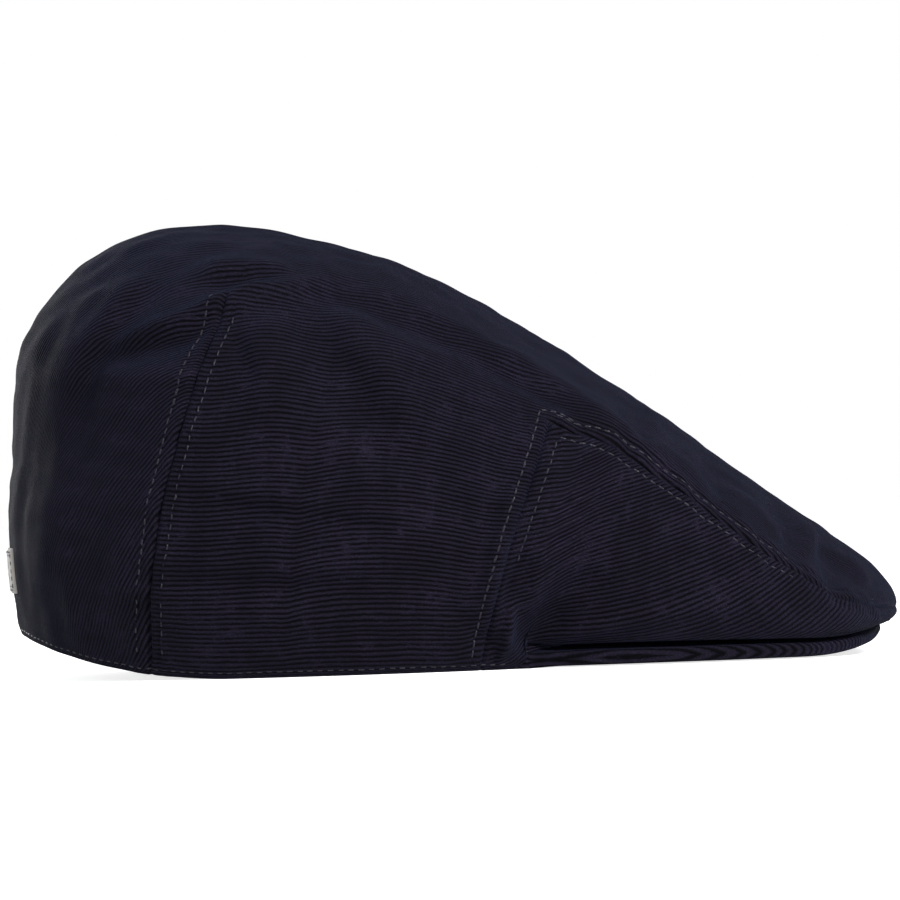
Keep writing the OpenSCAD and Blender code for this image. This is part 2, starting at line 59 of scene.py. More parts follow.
HEAD_LENGTH, HEAD_WIDTH = 204.0, 164.0
REAR_RISE, FRONT_RISE = 14.0, 9.5
CROWN_HEIGHT, CROWN_WIDTH = 139.0, 190.0
BACK_OVERHANG, NOSE_OVERHANG = 3.0, 4.5
BRIM_DEPTH, BRIM_WIDTH, BRIM_LIFT, BRIM_CORNER = 55.0, 158.0, 6.0, 61.5
CORDUROY_T, BOARD_T, LAYER_GAP = 1.3, 1.6, 0.25
SWEATBAND_H, SWEATBAND_T, TAPE_T, LINING_T = 32.0, 1.0, 0.4, 0.5

LABEL_W, LABEL_H = 38.0, 14.0
LABEL_Z = REAR_RISE + 13.0 + LABEL_H / 2

TAPE_R = SWEATBAND_T + LAYER_GAP
LINING_R = TAPE_R + TAPE_T + LAYER_GAP
WALL_T = LINING_R + LINING_T + LAYER_GAP + CORDUROY_T
RIM_A, RIM_B = HEAD_LENGTH / 2 + WALL_T, HEAD_WIDTH / 2 + WALL_T
CAP_LENGTH = 2 * RIM_A + BRIM_DEPTH + BACK_OVERHANG + NOSE_OVERHANG
HEAD_X = -CAP_LENGTH / 2 + BACK_OVERHANG + RIM_A
BRIM_TIP_X = HEAD_X + RIM_A + BRIM_DEPTH
BRIM_T = 2 * CORDUROY_T + BOARD_T + 2 * LAYER_GAP
BRIM_SHOULDER_X = BRIM_TIP_X - 0.335 * CAP_LENGTH
CORNER, SEAM, DART, BACK = 5.0, 6.0, 8.0, 10.0
BRIM_TUCK = 0.3  # stations over which the brim's ends run in behind the rim
CORNER_TURN = 0.08  # share of a station over which the fold drops to the rim behind the brim's corner
RIM_ANGLES = np.array([0, 12, 24, 37, 49, BRIM_CORNER, 70, 94, 127, 152, 180.0])[:, None]
FLIP = np.array([1.0, -1.0, 1.0])


def unit(v):
    return v / np.maximum(np.linalg.norm(v, axis=-1, keepdims=True), 1e-9)


def smooth(t):
    t = np.clip(t, 0, 1)
    return t * t * (3 - 2 * t)


def through(p, u, before, after):
    """A smooth curve through the points p at whole values of u."""
    q = np.vstack([np.atleast_2d(before), p, np.atleast_2d(after)])
    k = np.clip(np.floor(u), 0, len(p) - 2).astype(int)
    t = (np.asarray(u, float) - k)[..., None]
    a, b, c, d = q[k], q[k + 1], q[k + 2], q[k + 3]
    return b + t * ((c - a) / 2 + t * ((2 * a - 5 * b + 4 * c - d) / 2 + t * (3 * b - a - 3 * c + d) / 2))


def rail(p, u):
    return through(p, u, p[1] * FLIP, p[-2] * FLIP)


def rim_angle(u):
    return through(RIM_ANGLES, u, [-RIM_ANGLES[1, 0]], [360 - RIM_ANGLES[-2, 0]])[..., 0]


def rim_height(angle):
    front = FRONT_RISE * (1 - (angle / BRIM_CORNER) ** 2)
    rear = REAR_RISE * np.maximum(0, (-np.cos(np.radians(angle)) - 0.3) / 0.7) ** 2.4
    return np.where(angle < BRIM_CORNER, front, rear)


def at_rim(u, depth, z):
    """A point z above the rim at a station, at a depth inside the rim's outer face."""
    angle = rim_angle(u)
    return np.stack(
        [
            HEAD_X + (RIM_A - depth) * np.cos(np.radians(angle)),
            (RIM_B - depth) * np.sin(np.radians(angle)),
            rim_height(angle) + z,
        ],
        axis=-1,
    )


def place(rows):
    f = np.array(rows, float)
    return np.stack(
        [(f[:, 0] / 100 - 0.5) * CAP_LENGTH, f[:, 1] / 200 * CROWN_WIDTH, f[:, 2] / 100 * CROWN_HEIGHT], 1
    )


BRIM_TURNS = np.radians([0, 22, 42, 61, 83])
BRIM_EDGE = np.vstack(
    [
        np.stack(
            [
                BRIM_SHOULDER_X + (BRIM_TIP_X - BRIM_SHOULDER_X) * np.cos(BRIM_TURNS) ** (2 / 2.8),
                BRIM_WIDTH / 2 * np.sin(BRIM_TURNS) ** (2 / 2.8),
                BRIM_LIFT * np.array([1, 0.5, 0.06, 0.03, 0.03]),
            ],
            1,
        ),
        at_rim(np.array(CORNER), -1.5, 0)[None],
    ]
)
FOLD_GAP = np.array([0.7, 0.8, 1.2, 1.6, 2.2, 2.3])
FOLD_REACH = np.array([2, 2, 1.6, 1.2, 1, 0])
FOLD_RAIL = (
    BRIM_EDGE
    + np.stack([0 * FOLD_GAP, 0 * FOLD_GAP, BRIM_T + FOLD_GAP], 1)
    + FOLD_REACH[:, None] * unit((BRIM_EDGE - [BRIM_SHOULDER_X, 0, 0]) * [1, 1, 0])
)
CORNER_AT_RIM = at_rim(np.array(CORNER), 0, 0)
FOLD_END = np.array([CORNER_AT_RIM[0] - 12, CORNER_AT_RIM[1] + 5, FOLD_RAIL[-1, 2]])
MIDDLE_RAIL = place(
    [
        [100, 0, 8.4], [98.4, 37.5, 8.2], [93.9, 63, 9.6], [84.8, 80, 13.7], [73, 88.4, 21.6],
        [62.6, 92, 25.9], [56.2, 95.8, 24.5], [39, 100, 33], [18.5, 86, 39], [5.2, 51, 42], [0.2, 0, 45],
    ]
)
SHOULDER_RAIL = place(
    [
        [100, 0, 9.9], [98.1, 36.2, 10.4], [93.2, 60.5, 13.3], [84.8, 74.7, 23.7], [74.3, 79.5, 39.2],
        [67, 80.6, 49], [61.3, 81, 53.2], [43.4, 82, 70.5], [26.6, 68, 82.7], [12.2, 42, 85.5], [4.6, 0, 82],
    ]
)
SPINE_RAIL = place(
    [
        [100, 0, 9.9], [98.1, 0, 18.3], [92.8, 0, 26.8], [84, 0, 39.4], [73.8, 0, 54.7], [67.2, 0, 63.7],
        [61.3, 0, 72.1], [46.8, 0, 88.6], [34.6, 0, 96.7], [27.6, 0, 99.4], [23.7, 0, 100],
    ]
)
SPINE_ENDS = place([[98.1, 0, -0.5], [17, 0, 99]])


def crown_edge(u, start=CORNER, turn=CORNER_TURN):
    """The crown's lower edge: the fold over the brim, which drops to the rim behind the brim's corner."""
    fold = through(FOLD_RAIL, np.minimum(u, CORNER), FOLD_RAIL[1] * FLIP, FOLD_END)
    step = at_rim(u, -1.5, BRIM_T + FOLD_GAP[-1])
    w = smooth((u - start) / turn)[..., None]
    return np.where((u <= CORNER)[..., None], fold, step) * (1 - w) + at_rim(u, 0, 0) * w


def hermite(a, b, ta, tb, t):
    span = np.linalg.norm(b - a, axis=-1, keepdims=True)
    return (
        a * (1 - t) ** 2 * (1 + 2 * t) + b * t * t * (3 - 2 * t)
        + span * (ta * t * (1 - t) ** 2 - tb * t * t * (1 - t))
    )


def rib(e, m, q, s, te, u, v):
    """Points on the ribs: v is 0 at the edge, 1 at the middle, 2 at the shoulder and 3 at the spine."""
    tm = unit(unit(m - e) + unit(q - m))
    tq = unit(unit(q - m) + unit(s - q))
    te = unit(2 * unit(m - e) - tm) if te is None else te
    turn = np.radians(90 * smooth((u - 7) / 3))
    ts = np.stack([np.sin(turn), -np.cos(turn), 0 * turn], -1)
    v = v[:, None, None]
    low = hermite(e, m, te, tm, np.clip(v, 0, 1))
    mid = hermite(m, q, tm, tq, np.clip(v - 1, 0, 1))
    top = hermite(q, s, tq, ts, np.clip(v - 2, 0, 1))
    return np.where(v <= 1, low, np.where(v <= 2, mid, top))


def crown_half(u, v):
    soft = crown_edge(u, CORNER - 0.5, 1.0)
    ribs = rib(
        soft, rail(MIDDLE_RAIL, u), rail(SHOULDER_RAIL, u),
        through(SPINE_RAIL, u, SPINE_ENDS[0], SPINE_ENDS[1]), None, u, v,
    )
    return ribs + (crown_edge(u) - soft)[None] * (1 - smooth(v / 0.3))[:, None, None]


# ------------------------------------------------------------------ lattices


def running(p, axis=0):
    """Distance run along one way of a line or a lattice of points."""
    steps = np.linalg.norm(np.diff(p, axis=axis), axis=-1)
    return np.concatenate([np.zeros_like(steps.take([0], axis)), np.cumsum(steps, axis=axis)], axis)


def bell(x, middle, width):
    """A soft bump: 1 in the middle and next to nothing at two widths."""
    return np.exp(-(((x - middle) / width) ** 2))


def sided(side):
    """Factors that mirror points whose side is -1 and leave the others."""
    return np.stack([0 * side + 1, side, 0 * side + 1], 1)


def whole(half):
    """A lattice from the left rim over the spine to the right rim, from its left half."""
    return np.concatenate([half, half[-2::-1] * FLIP], 0)


def nearest(values, value):
    return int(np.argmin(abs(values - value)))


def clustered(low, high, coarse, fine, centres, reach, length_at):
    """Values from low to high whose spacing, in mm of cloth, is fine within reach of each centre."""
    out, x = [low], low
    while x < high - 1e-6:
        scale = length_at(x)
        near = min(abs(x - c) * scale for c in centres) if centres else 1e9
        step = fine + (coarse - fine) * float(smooth(np.array((near - reach) / reach)))
        nxt = x + step / scale
        for c in [*centres, high]:
            if x < c - 1e-9 and nxt > c - 0.35 * step / scale:
                nxt = c
                break
        out.append(nxt)
        x = nxt
    return np.array(out)


def grid_normals(g):
    """Normals of a lattice whose first and last columns lie in the mirror plane."""
    wide = np.concatenate([g[::-1, 1:2], g, g[::-1, -2:-1]], axis=1)
    along = wide[:, 2:] - wide[:, :-2]
    across = np.gradient(g, axis=0)
    n = np.cross(along, across)
    size = np.linalg.norm(n, axis=-1)
    for c in (0, g.shape[1] - 1):
        good = np.where(size[:, c] > 1e-7)[0]
        for r in np.where(size[:, c] <= 1e-7)[0]:
            pair = [good[good < r][-1:], good[good > r][:1]]
            n[r, c] = sum(unit(n[k[0], c]) for k in pair if len(k))
    return unit(n)


def mesh_object(name, points, faces, uvs, material):
    """A welded mesh from numpy points (mm), faces and one (u, v) per point."""
    mesh = bpy.data.meshes.new(name)
    mesh.from_pydata((np.asarray(points) * MM).tolist(), [], [tuple(f) for f in faces])
    layer = mesh.uv_layers.new(name="UVMap")
    loops = np.zeros(len(mesh.loops), int)
    mesh.loops.foreach_get("vertex_index", loops)
    layer.data.foreach_set("uv", np.asarray(uvs, np.float32)[loops].ravel())
    bm = bmesh.new()
    bm.from_mesh(mesh)
    bmesh.ops.delete(bm, geom=[v for v in bm.verts if not v.link_faces], context="VERTS")
    bmesh.ops.remove_doubles(bm, verts=bm.verts, dist=2e-6)
    bmesh.ops.dissolve_degenerate(bm, edges=bm.edges, dist=1e-7)
    bm.to_mesh(mesh)
    bm.free()
    mesh.polygons.foreach_set("use_smooth", [True] * len(mesh.polygons))
    mesh.materials.append(material)
    obj = bpy.data.objects.new(name, mesh)
    bpy.context.scene.collection.objects.link(obj)
    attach(obj, BODY)
    return obj


def grid_faces(rows, cols, keep=None, flip=False):
    r, c = np.meshgrid(np.arange(rows - 1), np.arange(cols - 1), indexing="ij")
    if keep is not None:
        k = keep(r, c)
        r, c = r[k], c[k]
    a = (r * cols + c).ravel()
    quads = np.stack([a, a + 1, a + cols + 1, a + cols], 1)
    return quads[:, ::-1] if flip else quads


# ------------------------------------------------------------------ direction of the wales


def wave(t, p):
    """Carries distances t one sweep further over the lattice p, from rows and columns already known."""
    rows, cols = t.shape
    big = 1e6
    around = [(0, 1), (1, 1), (1, 0), (1, -1), (0, -1), (-1, -1), (-1, 0), (-1, 1)]

    def update(rs, cs):
        best = t[rs, cs]
        here = p[rs, cs]
        for k in range(8):
            (ra, ca), (rb, cb) = around[k], around[(k + 1) % 8]
            r1, c1, r2, c2 = rs + ra, cs + ca, rs + rb, cs + cb
            ok = (
                (r1 >= 0) & (r1 < rows) & (c1 >= 0) & (c1 < cols)
                & (r2 >= 0) & (r2 < rows) & (c2 >= 0) & (c2 < cols)
            )
            r1, c1 = np.clip(r1, 0, rows - 1), np.clip(c1, 0, cols - 1)
            r2, c2 = np.clip(r2, 0, rows - 1), np.clip(c2, 0, cols - 1)
            ta, tb = t[r1, c1], t[r2, c2]
            e, w = p[r2, c2] - p[r1, c1], here - p[r1, c1]
            aa = np.maximum((e * e).sum(-1), 1e-9)
            b, cc = (e * w).sum(-1), (w * w).sum(-1)
            h = np.sqrt(np.maximum(cc - b * b / aa, 0))
            d = np.clip(tb - ta, -0.999 * np.sqrt(aa), 0.999 * np.sqrt(aa))
            x = d * h / np.sqrt(np.maximum(1 - d * d / aa, 1e-6))
            lam = np.clip((b - x) / aa, 0, 1)
            foot = w - lam[:, None] * e
            cand = ta + lam * (tb - ta) + np.linalg.norm(foot, axis=-1)
            best = np.minimum(best, np.where(ok, cand, big))
        t[rs, cs] = best

    all_r, all_c = np.arange(rows), np.arange(cols)
    for r in range(rows - 1, -1, -1):
        update(np.full(cols, r), all_c)
    for c in range(cols - 1, -1, -1):
        update(all_r, np.full(rows, c))
    for c in range(cols):
        update(all_r, np.full(rows, c))
    return t


def wale_field(p, u, v):
    """Distance from the cap's centre line over the cloth, cut open at the rear dart, on half a lattice."""
    k = nearest(u, DART)
    top = v >= 2 - 1e-6
    front, back = np.full((len(v), k + 1), 1e6), np.full((len(v), len(u) - k), 1e6)
    front[-1] = 0
    back[-1] = 0
    back[:, -1] = 0
    front[top, 0] = 0
    for _ in range(2):
        wave(back, p[:, k:])
        joined = np.minimum(front[top, -1], back[top, 0])
        front[top, -1] = back[top, 0] = joined
        wave(front, p[:, : k + 1])
        joined = np.minimum(front[top, -1], back[top, 0])
        front[top, -1] = back[top, 0] = joined
    return front, back, k


# ------------------------------------------------------------------ creases

# Soft creases the cloth keeps: points (x, z) on the side, width, height (a valley below 0), and which side.
CREASES = [
    ([(-86, 121), (-96, 110), (-104, 100), (-110, 88), (-115, 70)], 4.0, -1.7, "both"),
    ([(-92, 123), (-102, 112), (-110, 101), (-117, 86)], 4.5, 1.0, "both"),
    ([(-112, 101), (-98, 104), (-80, 108), (-66, 114), (-56, 117.5), (-36, 118)], 3.0, 1.4, "right"),
    ([(-106, 97), (-92, 100), (-78, 103.5), (-69, 108)], 3.0, -1.3, "right"),
    ([(-74, 124), (-60, 124), (-44, 122)], 3.0, 1.1, "right"),
    ([(-72, 119.5), (-60, 120.5), (-46, 119.5)], 2.5, -0.9, "right"),
    ([(-100, 108), (-84, 112), (-66, 118), (-48, 118), (-30, 114)], 3.5, 1.2, "left"),
    ([(-96, 103), (-82, 106), (-70, 111)], 3.0, -1.1, "left"),
    ([(-46, 114), (-38, 102), (-30, 88), (-22, 72), (-12, 58)], 7.0, -1.5, "right"),
    ([(-34, 113), (-24, 100), (-14, 84), (-6, 70)], 7.0, 0.9, "right"),
    ([(-58, 110), (-53, 92), (-50, 74)], 8.0, 0.8, "right"),
    ([(-52, 112), (-40, 96), (-26, 80), (-14, 64)], 8.0, -1.2, "left"),
    ([(-84, 61), (-60, 56), (-34, 51), (-12, 49)], 3.0, 0.7, "right"),
    ([(-84, 56), (-60, 51), (-34, 46), (-10, 43)], 2.8, -0.7, "right"),
    ([(-88, 36), (-64, 34), (-40, 32), (-16, 32)], 3.2, 0.6, "both"),
    ([(-88, 30), (-62, 28), (-38, 27)], 3.0, -0.6, "both"),
    ([(-60, 66), (-40, 60), (-16, 57), (6, 58)], 3.4, 0.6, "left"),
    ([(-70, 18), (-44, 17), (-10, 18)], 4.0, 0.5, "both"),
    ([(-24, 118), (4, 103), (24, 91), (44, 77), (64, 63), (88, 46)], 3.6, 1.0, "both"),
    ([(-16, 108), (8, 96), (26, 85), (42, 75)], 3.2, -0.9, "both"),
    ([(10, 112), (34, 95), (58, 77), (84, 58)], 4.0, -0.7, "right"),
    ([(54, 80), (58, 74), (62, 67)], 3.2, -1.6, "right"),
    ([(60, 78), (66, 72)], 3.0, 0.8, "right"),
    ([(76, 62), (81, 55), (85, 49)], 3.0, -1.4, "both"),
    ([(100, 48), (103, 41), (104, 33)], 2.6, -1.5, "right"),
    ([(106, 46), (110, 38), (110, 30)], 3.0, 0.9, "both"),
    ([(113, 36), (116, 28), (117, 20)], 2.6, -1.4, "both"),
    ([(121, 31), (125, 25), (128, 20)], 2.4, 0.8, "right"),
    ([(22, 8), (28, 16), (36, 24), (46, 30)], 3.4, -0.9, "both"),
    ([(20, 10), (20, 22), (24, 34)], 3.2, -1.0, "both"),
    ([(26, 8), (42, 12), (62, 15), (90, 17)], 3.0, 0.7, "both"),
    ([(14, 4), (17, 12), (18, 20)], 2.2, 1.3, "both"),
    ([(20, 5), (25, 12), (34, 18)], 4.2, -1.5, "both"),
    ([(11, 16), (13, 30), (17, 44), (20, 58)], 3.0, 0.9, "right"),
    ([(16, 14), (18, 28), (22, 42)], 2.6, -0.9, "right"),
    ([(-64, 104), (-60, 96), (-58, 88)], 2.2, -0.8, "right"),
    ([(-46, 118), (-24, 112), (-6, 104), (10, 96)], 3.2, -0.9, "right"),
    ([(-112, 96), (-98, 92), (-84, 92), (-72, 96)], 4.5, 0.8, "both"),
    ([(12, 6), (5, 14), (-2, 20)], 2.6, -0.6, "both"),
    ([(-122, 60), (-124, 44), (-122, 28)], 4.5, 0.8, "both"),
    ([(-104, 58), (-107, 40), (-106, 24)], 4.0, -0.7, "both"),
]


def crease_height(p, side, strength):
    """How far the creases lift the cloth at points p of one side, in mm."""
    x, z = p[..., 0], p[..., 2]
    out = np.zeros(x.shape)
    for points, width, height, where in CREASES:
        if where not in (side, "both"):
            continue
        q = np.array(points, float)
        if where == "both" and side == "left":
            q = q * [0.985, 1.02] + [2.5, -1.5]
            height = 0.8 * height
        lengths = running(q)
        best, at = np.full(x.shape, 1e9), np.zeros(x.shape)
        for a, b, l0, l1 in zip(q[:-1], q[1:], lengths[:-1], lengths[1:]):
            d = b - a
            t = np.clip(((x - a[0]) * d[0] + (z - a[1]) * d[1]) / (d @ d), 0, 1)
            dist = np.hypot(x - a[0] - t * d[0], z - a[1] - t * d[1])
            near = dist < best
            best, at = np.where(near, dist, best), np.where(near, l0 + t * (l1 - l0), at)
        taper = np.minimum(at, lengths[-1] - at) / lengths[-1]
        out += height * bell(best, 0, width) * smooth(0.25 + 3.2 * taper)
    return out * strength * 1.3 * smooth((abs(p[..., 1]) - 10.0) / 30.0)


def ripple(p, scale, seed, stretch=(1, 1, 1)):
    """Soft uneven hills from a fixed set of waves, about 1 high."""
    rng = np.random.default_rng(seed)
    q = p * np.array(stretch) / scale
    out = np.zeros(p.shape[:-1])
    for _ in range(9):
        k = rng.normal(size=3)
        out += np.sin(q @ (k * 2.2) + rng.uniform(0, 6.28))
    return out / 3.2


# ------------------------------------------------------------------ settings


class CapSizes(bpy.types.PropertyGroup):
    wale_pitch: bpy.props.FloatProperty(
        name="Wale pitch", description="Distance from one rib of the corduroy to the next",
        default=1.5 * MM, min=0.8 * MM, max=4 * MM, unit="LENGTH", precision=4,
    )
    wale_height: bpy.props.FloatProperty(
        name="Wale height", description="How far the ribs of pile stand over the ground cloth",
        default=0.42 * MM, min=0, max=1 * MM, unit="LENGTH", precision=5,
    )
    crease_strength: bpy.props.FloatProperty(
        name="Crease strength", description="How strongly the cloth keeps its creases",
        default=1.75, min=0, max=2,
        subtype="FACTOR",
    )
    stitch_pitch: bpy.props.FloatProperty(
        name="Stitch pitch", description="Length of one topstitch with its gap",
        default=3.1 * MM, min=2 * MM, max=6 * MM, unit="LENGTH", precision=4,
    )
    stitch_offset: bpy.props.FloatProperty(
        name="Topstitch distance", description="Distance of each topstitch row from its seam",
        default=3.7 * MM, min=2 * MM, max=8 * MM, unit="LENGTH", precision=4,
    )
    thread_thickness: bpy.props.FloatProperty(
        name="Thread thickness", description="Thickness of the topstitching thread",
        default=0.5 * MM, min=0.2 * MM, max=1 * MM, unit="LENGTH", precision=5,
    )


class CapColours(bpy.types.PropertyGroup):
    pile: bpy.props.FloatVectorProperty(
        name="Pile", description="Colour of the corduroy's pile", default=(0.0164, 0.0130, 0.0272),
        size=3, min=0, max=1, subtype="COLOR",
    )
    fleck: bpy.props.FloatVectorProperty(
        name="Pile tips", description="Colour of the lightest tips of the pile",
        default=(0.052, 0.049, 0.072),
        size=3, min=0, max=1, subtype="COLOR",
    )
    # The colour between the wales is painted far darker than the pile: the bare cloth there, with painted
    # shade in the furrows.
    shaded_ground: bpy.props.FloatVectorProperty(
        name="Ground", description="Colour of the cloth between the wales",
        default=(0.0010, 0.0008, 0.0016),
        size=3, min=0, max=1, subtype="COLOR",
    )
    thread: bpy.props.FloatVectorProperty(
        name="Thread", description="Colour of the topstitching", default=(0.0155, 0.0135, 0.0245),
        size=3, min=0, max=1, subtype="COLOR",
    )
    lining: bpy.props.FloatVectorProperty(
        name="Lining", description="Colour of the satin lining", default=(0.012, 0.014, 0.030),
        size=3, min=0, max=1, subtype="COLOR",
    )
    label: bpy.props.FloatVectorProperty(
        name="Label", description="Colour of the woven labels", default=(0.42, 0.39, 0.36),
        size=3, min=0, max=1, subtype="COLOR",
    )


# ------------------------------------------------------------------ cloths and finishes


def new_group(name, inputs, outputs):
    group = bpy.data.node_groups.get(name)
    if group:
        return group, None, None
    group = bpy.data.node_groups.new(name, "ShaderNodeTree")
    for label, kind, value in inputs:
        socket = group.interface.new_socket(name=label, in_out="INPUT", socket_type=kind)
        if value is not None:
            socket.default_value = value
    for label, kind in outputs:
        group.interface.new_socket(name=label, in_out="OUTPUT", socket_type=kind)
    return group, group.nodes.new("NodeGroupInput"), group.nodes.new("NodeGroupOutput")


class Web:
    """Adds nodes to a tree with their settings and links in one call."""

    def __init__(self, tree):
        self.tree = tree

    def node(self, kind, settings=None, **sockets):
        n = self.tree.nodes.new(kind)
        for key, value in (settings or {}).items():
            setattr(n, key, value)
        for key, value in sockets.items():
            numbered = key[0] == "i" and key[1:].isdigit()
            target = n.inputs[int(key[1:]) if numbered else key.replace("_", " ")]
            if isinstance(value, bpy.types.NodeSocket):
                self.tree.links.new(value, target)
            else:
                target.default_value = value
        return n

    def to(self, value, target):
        self.tree.links.new(value, target)

    def raise_by(self, shader, height, strength, depth):
        """Bumps a shader by a height that is depth millimetres deep at most."""
        bump = self.node("ShaderNodeBump", None, Height=height, Strength=strength, Distance=depth * MM)
        self.to(bump.outputs[0], shader.inputs["Normal"])

    def cloth_mm(self):
        """Place on the cloth in millimetres."""
        uv = self.node("ShaderNodeUVMap", {"uv_map": "UVMap"}).outputs[0]
        return self.node("ShaderNodeVectorMath", {"operation": "SCALE"}, i0=uv, Scale=1000.0).outputs[0]

    def math(self, op, a, b=0.0, c=0.0):
        return self.node("ShaderNodeMath", {"operation": op}, i0=a, i1=b, i2=c).outputs[0]

    def blend(self, factor, a, b):
        n = self.node("ShaderNodeMix", {"data_type": "RGBA"})
        for key, value in ((0, factor), (6, a), (7, b)):
            if isinstance(value, bpy.types.NodeSocket):
                self.tree.links.new(value, n.inputs[key])
            else:
                n.inputs[key].default_value = value
        return n.outputs[2]

    def ramp(self, value, low, high):
        return self.node(
            "ShaderNodeMapRange", {"interpolation_type": "SMOOTHSTEP", "clamp": True},
            Value=value, From_Min=low, From_Max=high,
        ).outputs["Result"]


def corduroy_group():
    """Wales of pile on a base cloth: their height, how much is pile, and how ruffled it is; the pile mask
    also paints shade into the furrows, and the ruffle paints nap sheen and wear.
    """
    group, gi, go = new_group(
        "Corduroy wales",
        [("Pitch", "NodeSocketFloat", 1.5), ("Sway", "NodeSocketFloat", 0.14),
         ("Fibre", "NodeSocketFloat", 0.5)],
        [
            ("Height", "NodeSocketFloat"), ("Pile", "NodeSocketFloat"), ("Ruffle", "NodeSocketFloat"),
            ("Fuzz", "NodeSocketFloat"), ("Fleck", "NodeSocketFloat"),
        ],
    )
    if gi is None:
        return group
    w = Web(group)
    mm = w.cloth_mm()
    across = w.node("ShaderNodeSeparateXYZ", None, i0=mm).outputs[1]

    def cloud(along, over, detail, rough=0.5):
        at = w.node(
            "ShaderNodeVectorMath", {"operation": "MULTIPLY"}, i0=mm, i1=(along, over, 1.0)
        ).outputs[0]
        return w.node(
            "ShaderNodeTexNoise", {"noise_dimensions": "2D"},
            Vector=at, Scale=1.0, Detail=detail, Roughness=rough
        ).outputs[0]

    def centred(value, size):
        return w.math("MULTIPLY", w.math("SUBTRACT", value, 0.5), size)

    def swayed(noise, reach):
        centred = w.math("SUBTRACT", noise, 0.5)
        return w.math("MULTIPLY", centred, w.math("MULTIPLY", gi.outputs["Sway"], reach))

    wander = swayed(cloud(0.045, 0.16, 2.0), 7.0)
    jitter = swayed(cloud(0.6, 0.5, 2.0), 2.6)
    turns = w.math("DIVIDE", w.math("ADD", across, w.math("ADD", wander, jitter)), gi.outputs["Pitch"])
    arc = w.math("ABSOLUTE", w.math("SINE", w.math("MULTIPLY", turns, math.pi)))
    # Where the pile is brushed over, it closes the furrow between two wales.
    patches = cloud(0.035, 0.06, 4.0, 0.62)
    streaks = cloud(0.16, 0.035, 3.0, 0.6)
    ruffle = w.math("ADD", w.math("MULTIPLY", patches, 0.6), w.math("MULTIPLY", streaks, 0.4))
    brushed = w.math("ADD", centred(cloud(0.22, 0.4, 3.0, 0.6), 2.0), centred(ruffle, 2.2))
    closed = w.math("ADD", 0.32, w.math("MAXIMUM", brushed, -0.15))
    dome = w.math("POWER", w.math("MAXIMUM", arc, w.math("MULTIPLY", closed, 0.85)), 0.9)
    fibre = cloud(2.0, 4.6, 4.0, 0.72)
    tuft = cloud(1.1, 0.3, 2.0)
    rough = w.math("MULTIPLY", w.math("SUBTRACT", fibre, 0.5), gi.outputs["Fibre"])
    lumps = centred(tuft, 0.4)
    w.to(w.math("ADD", w.math("ADD", dome, rough), lumps), go.inputs["Height"])
    # The pile mask follows the wales' height, so the furrows take the dark colour: painted shade in the
    # furrows.
    w.to(w.ramp(w.math("ADD", dome, rough), 0.34, 1.10), go.inputs["Pile"])
    w.to(ruffle, go.inputs["Ruffle"])
    w.to(fibre, go.inputs["Fuzz"])
    w.to(w.ramp(cloud(3.4, 5.2, 2.0, 0.6), 0.66, 0.80), go.inputs["Fleck"])
    return group


def weave_group():
    """Plain weave: over and under threads, with uneven yarns."""
    group, gi, go = new_group(
        "Plain weave",
        [("Threads per mm", "NodeSocketFloat", 2.0), ("Unevenness", "NodeSocketFloat", 0.2)],
        [("Height", "NodeSocketFloat"), ("Shade", "NodeSocketFloat")],
    )
    if gi is None:
        return group
    w = Web(group)
    mm = w.cloth_mm()
    part = w.node("ShaderNodeSeparateXYZ", None, i0=mm)
    x = w.math("MULTIPLY", w.math("MULTIPLY", part.outputs[0], gi.outputs[0]), math.pi)
    y = w.math("MULTIPLY", w.math("MULTIPLY", part.outputs[1], gi.outputs[0]), math.pi)
    woven = w.math("MULTIPLY", w.math("SINE", x), w.math("SINE", y))
    noise = w.node(
        "ShaderNodeTexNoise", {"noise_dimensions": "2D"}, Vector=mm, Scale=0.6, Detail=3.0
    ).outputs[0]
    shade = w.math("ADD", w.math("MULTIPLY", woven, 0.5), w.math("MULTIPLY", noise, gi.outputs[1]))
    w.to(woven, go.inputs["Height"])
    w.to(shade, go.inputs["Shade"])
    return group


def lint_group():
    """Specks of lint and dust, as a mask."""
    group, gi, go = new_group(
        "Lint", [("Amount", "NodeSocketFloat", 0.5)], [("Mask", "NodeSocketFloat")]
    )
    if gi is None:
        return group
    w = Web(group)
    place_at = w.node("ShaderNodeTexCoord").outputs["Object"]
    spots = w.node(
        "ShaderNodeTexVoronoi", {"feature": "F1"}, Vector=place_at, Scale=260.0
    ).outputs["Distance"]
    some = w.node("ShaderNodeTexNoise", None, Vector=place_at, Scale=95.0, Detail=2.0).outputs[0]
    speck = w.math("MULTIPLY", w.ramp(spots, 0.09, 0.02), w.ramp(some, 0.62, 0.72))
    w.to(w.math("MULTIPLY", speck, gi.outputs[0]), go.inputs["Mask"])
    return group


def use_group(web, group, **values):
    n = web.node("ShaderNodeGroup", {"node_tree": group})
    for key, value in values.items():
        n.inputs[key.replace("_", " ")].default_value = value
    return n


def blank_material(name):
    m = bpy.data.materials.get(name)
    if m:
        return m, None, None
    m = bpy.data.materials.new(name)
    m.use_nodes = True
    return m, Web(m.node_tree), m.node_tree.nodes["Principled BSDF"]


def settle(shader, **values):
    """Sets the shader's own sockets."""
    for key, value in values.items():
        shader.inputs[key.replace("_", " ")].default_value = value


def rgba(colour, k=1.0):
    return (min(1, colour[0] * k), min(1, colour[1] * k), min(1, colour[2] * k), 1.0)


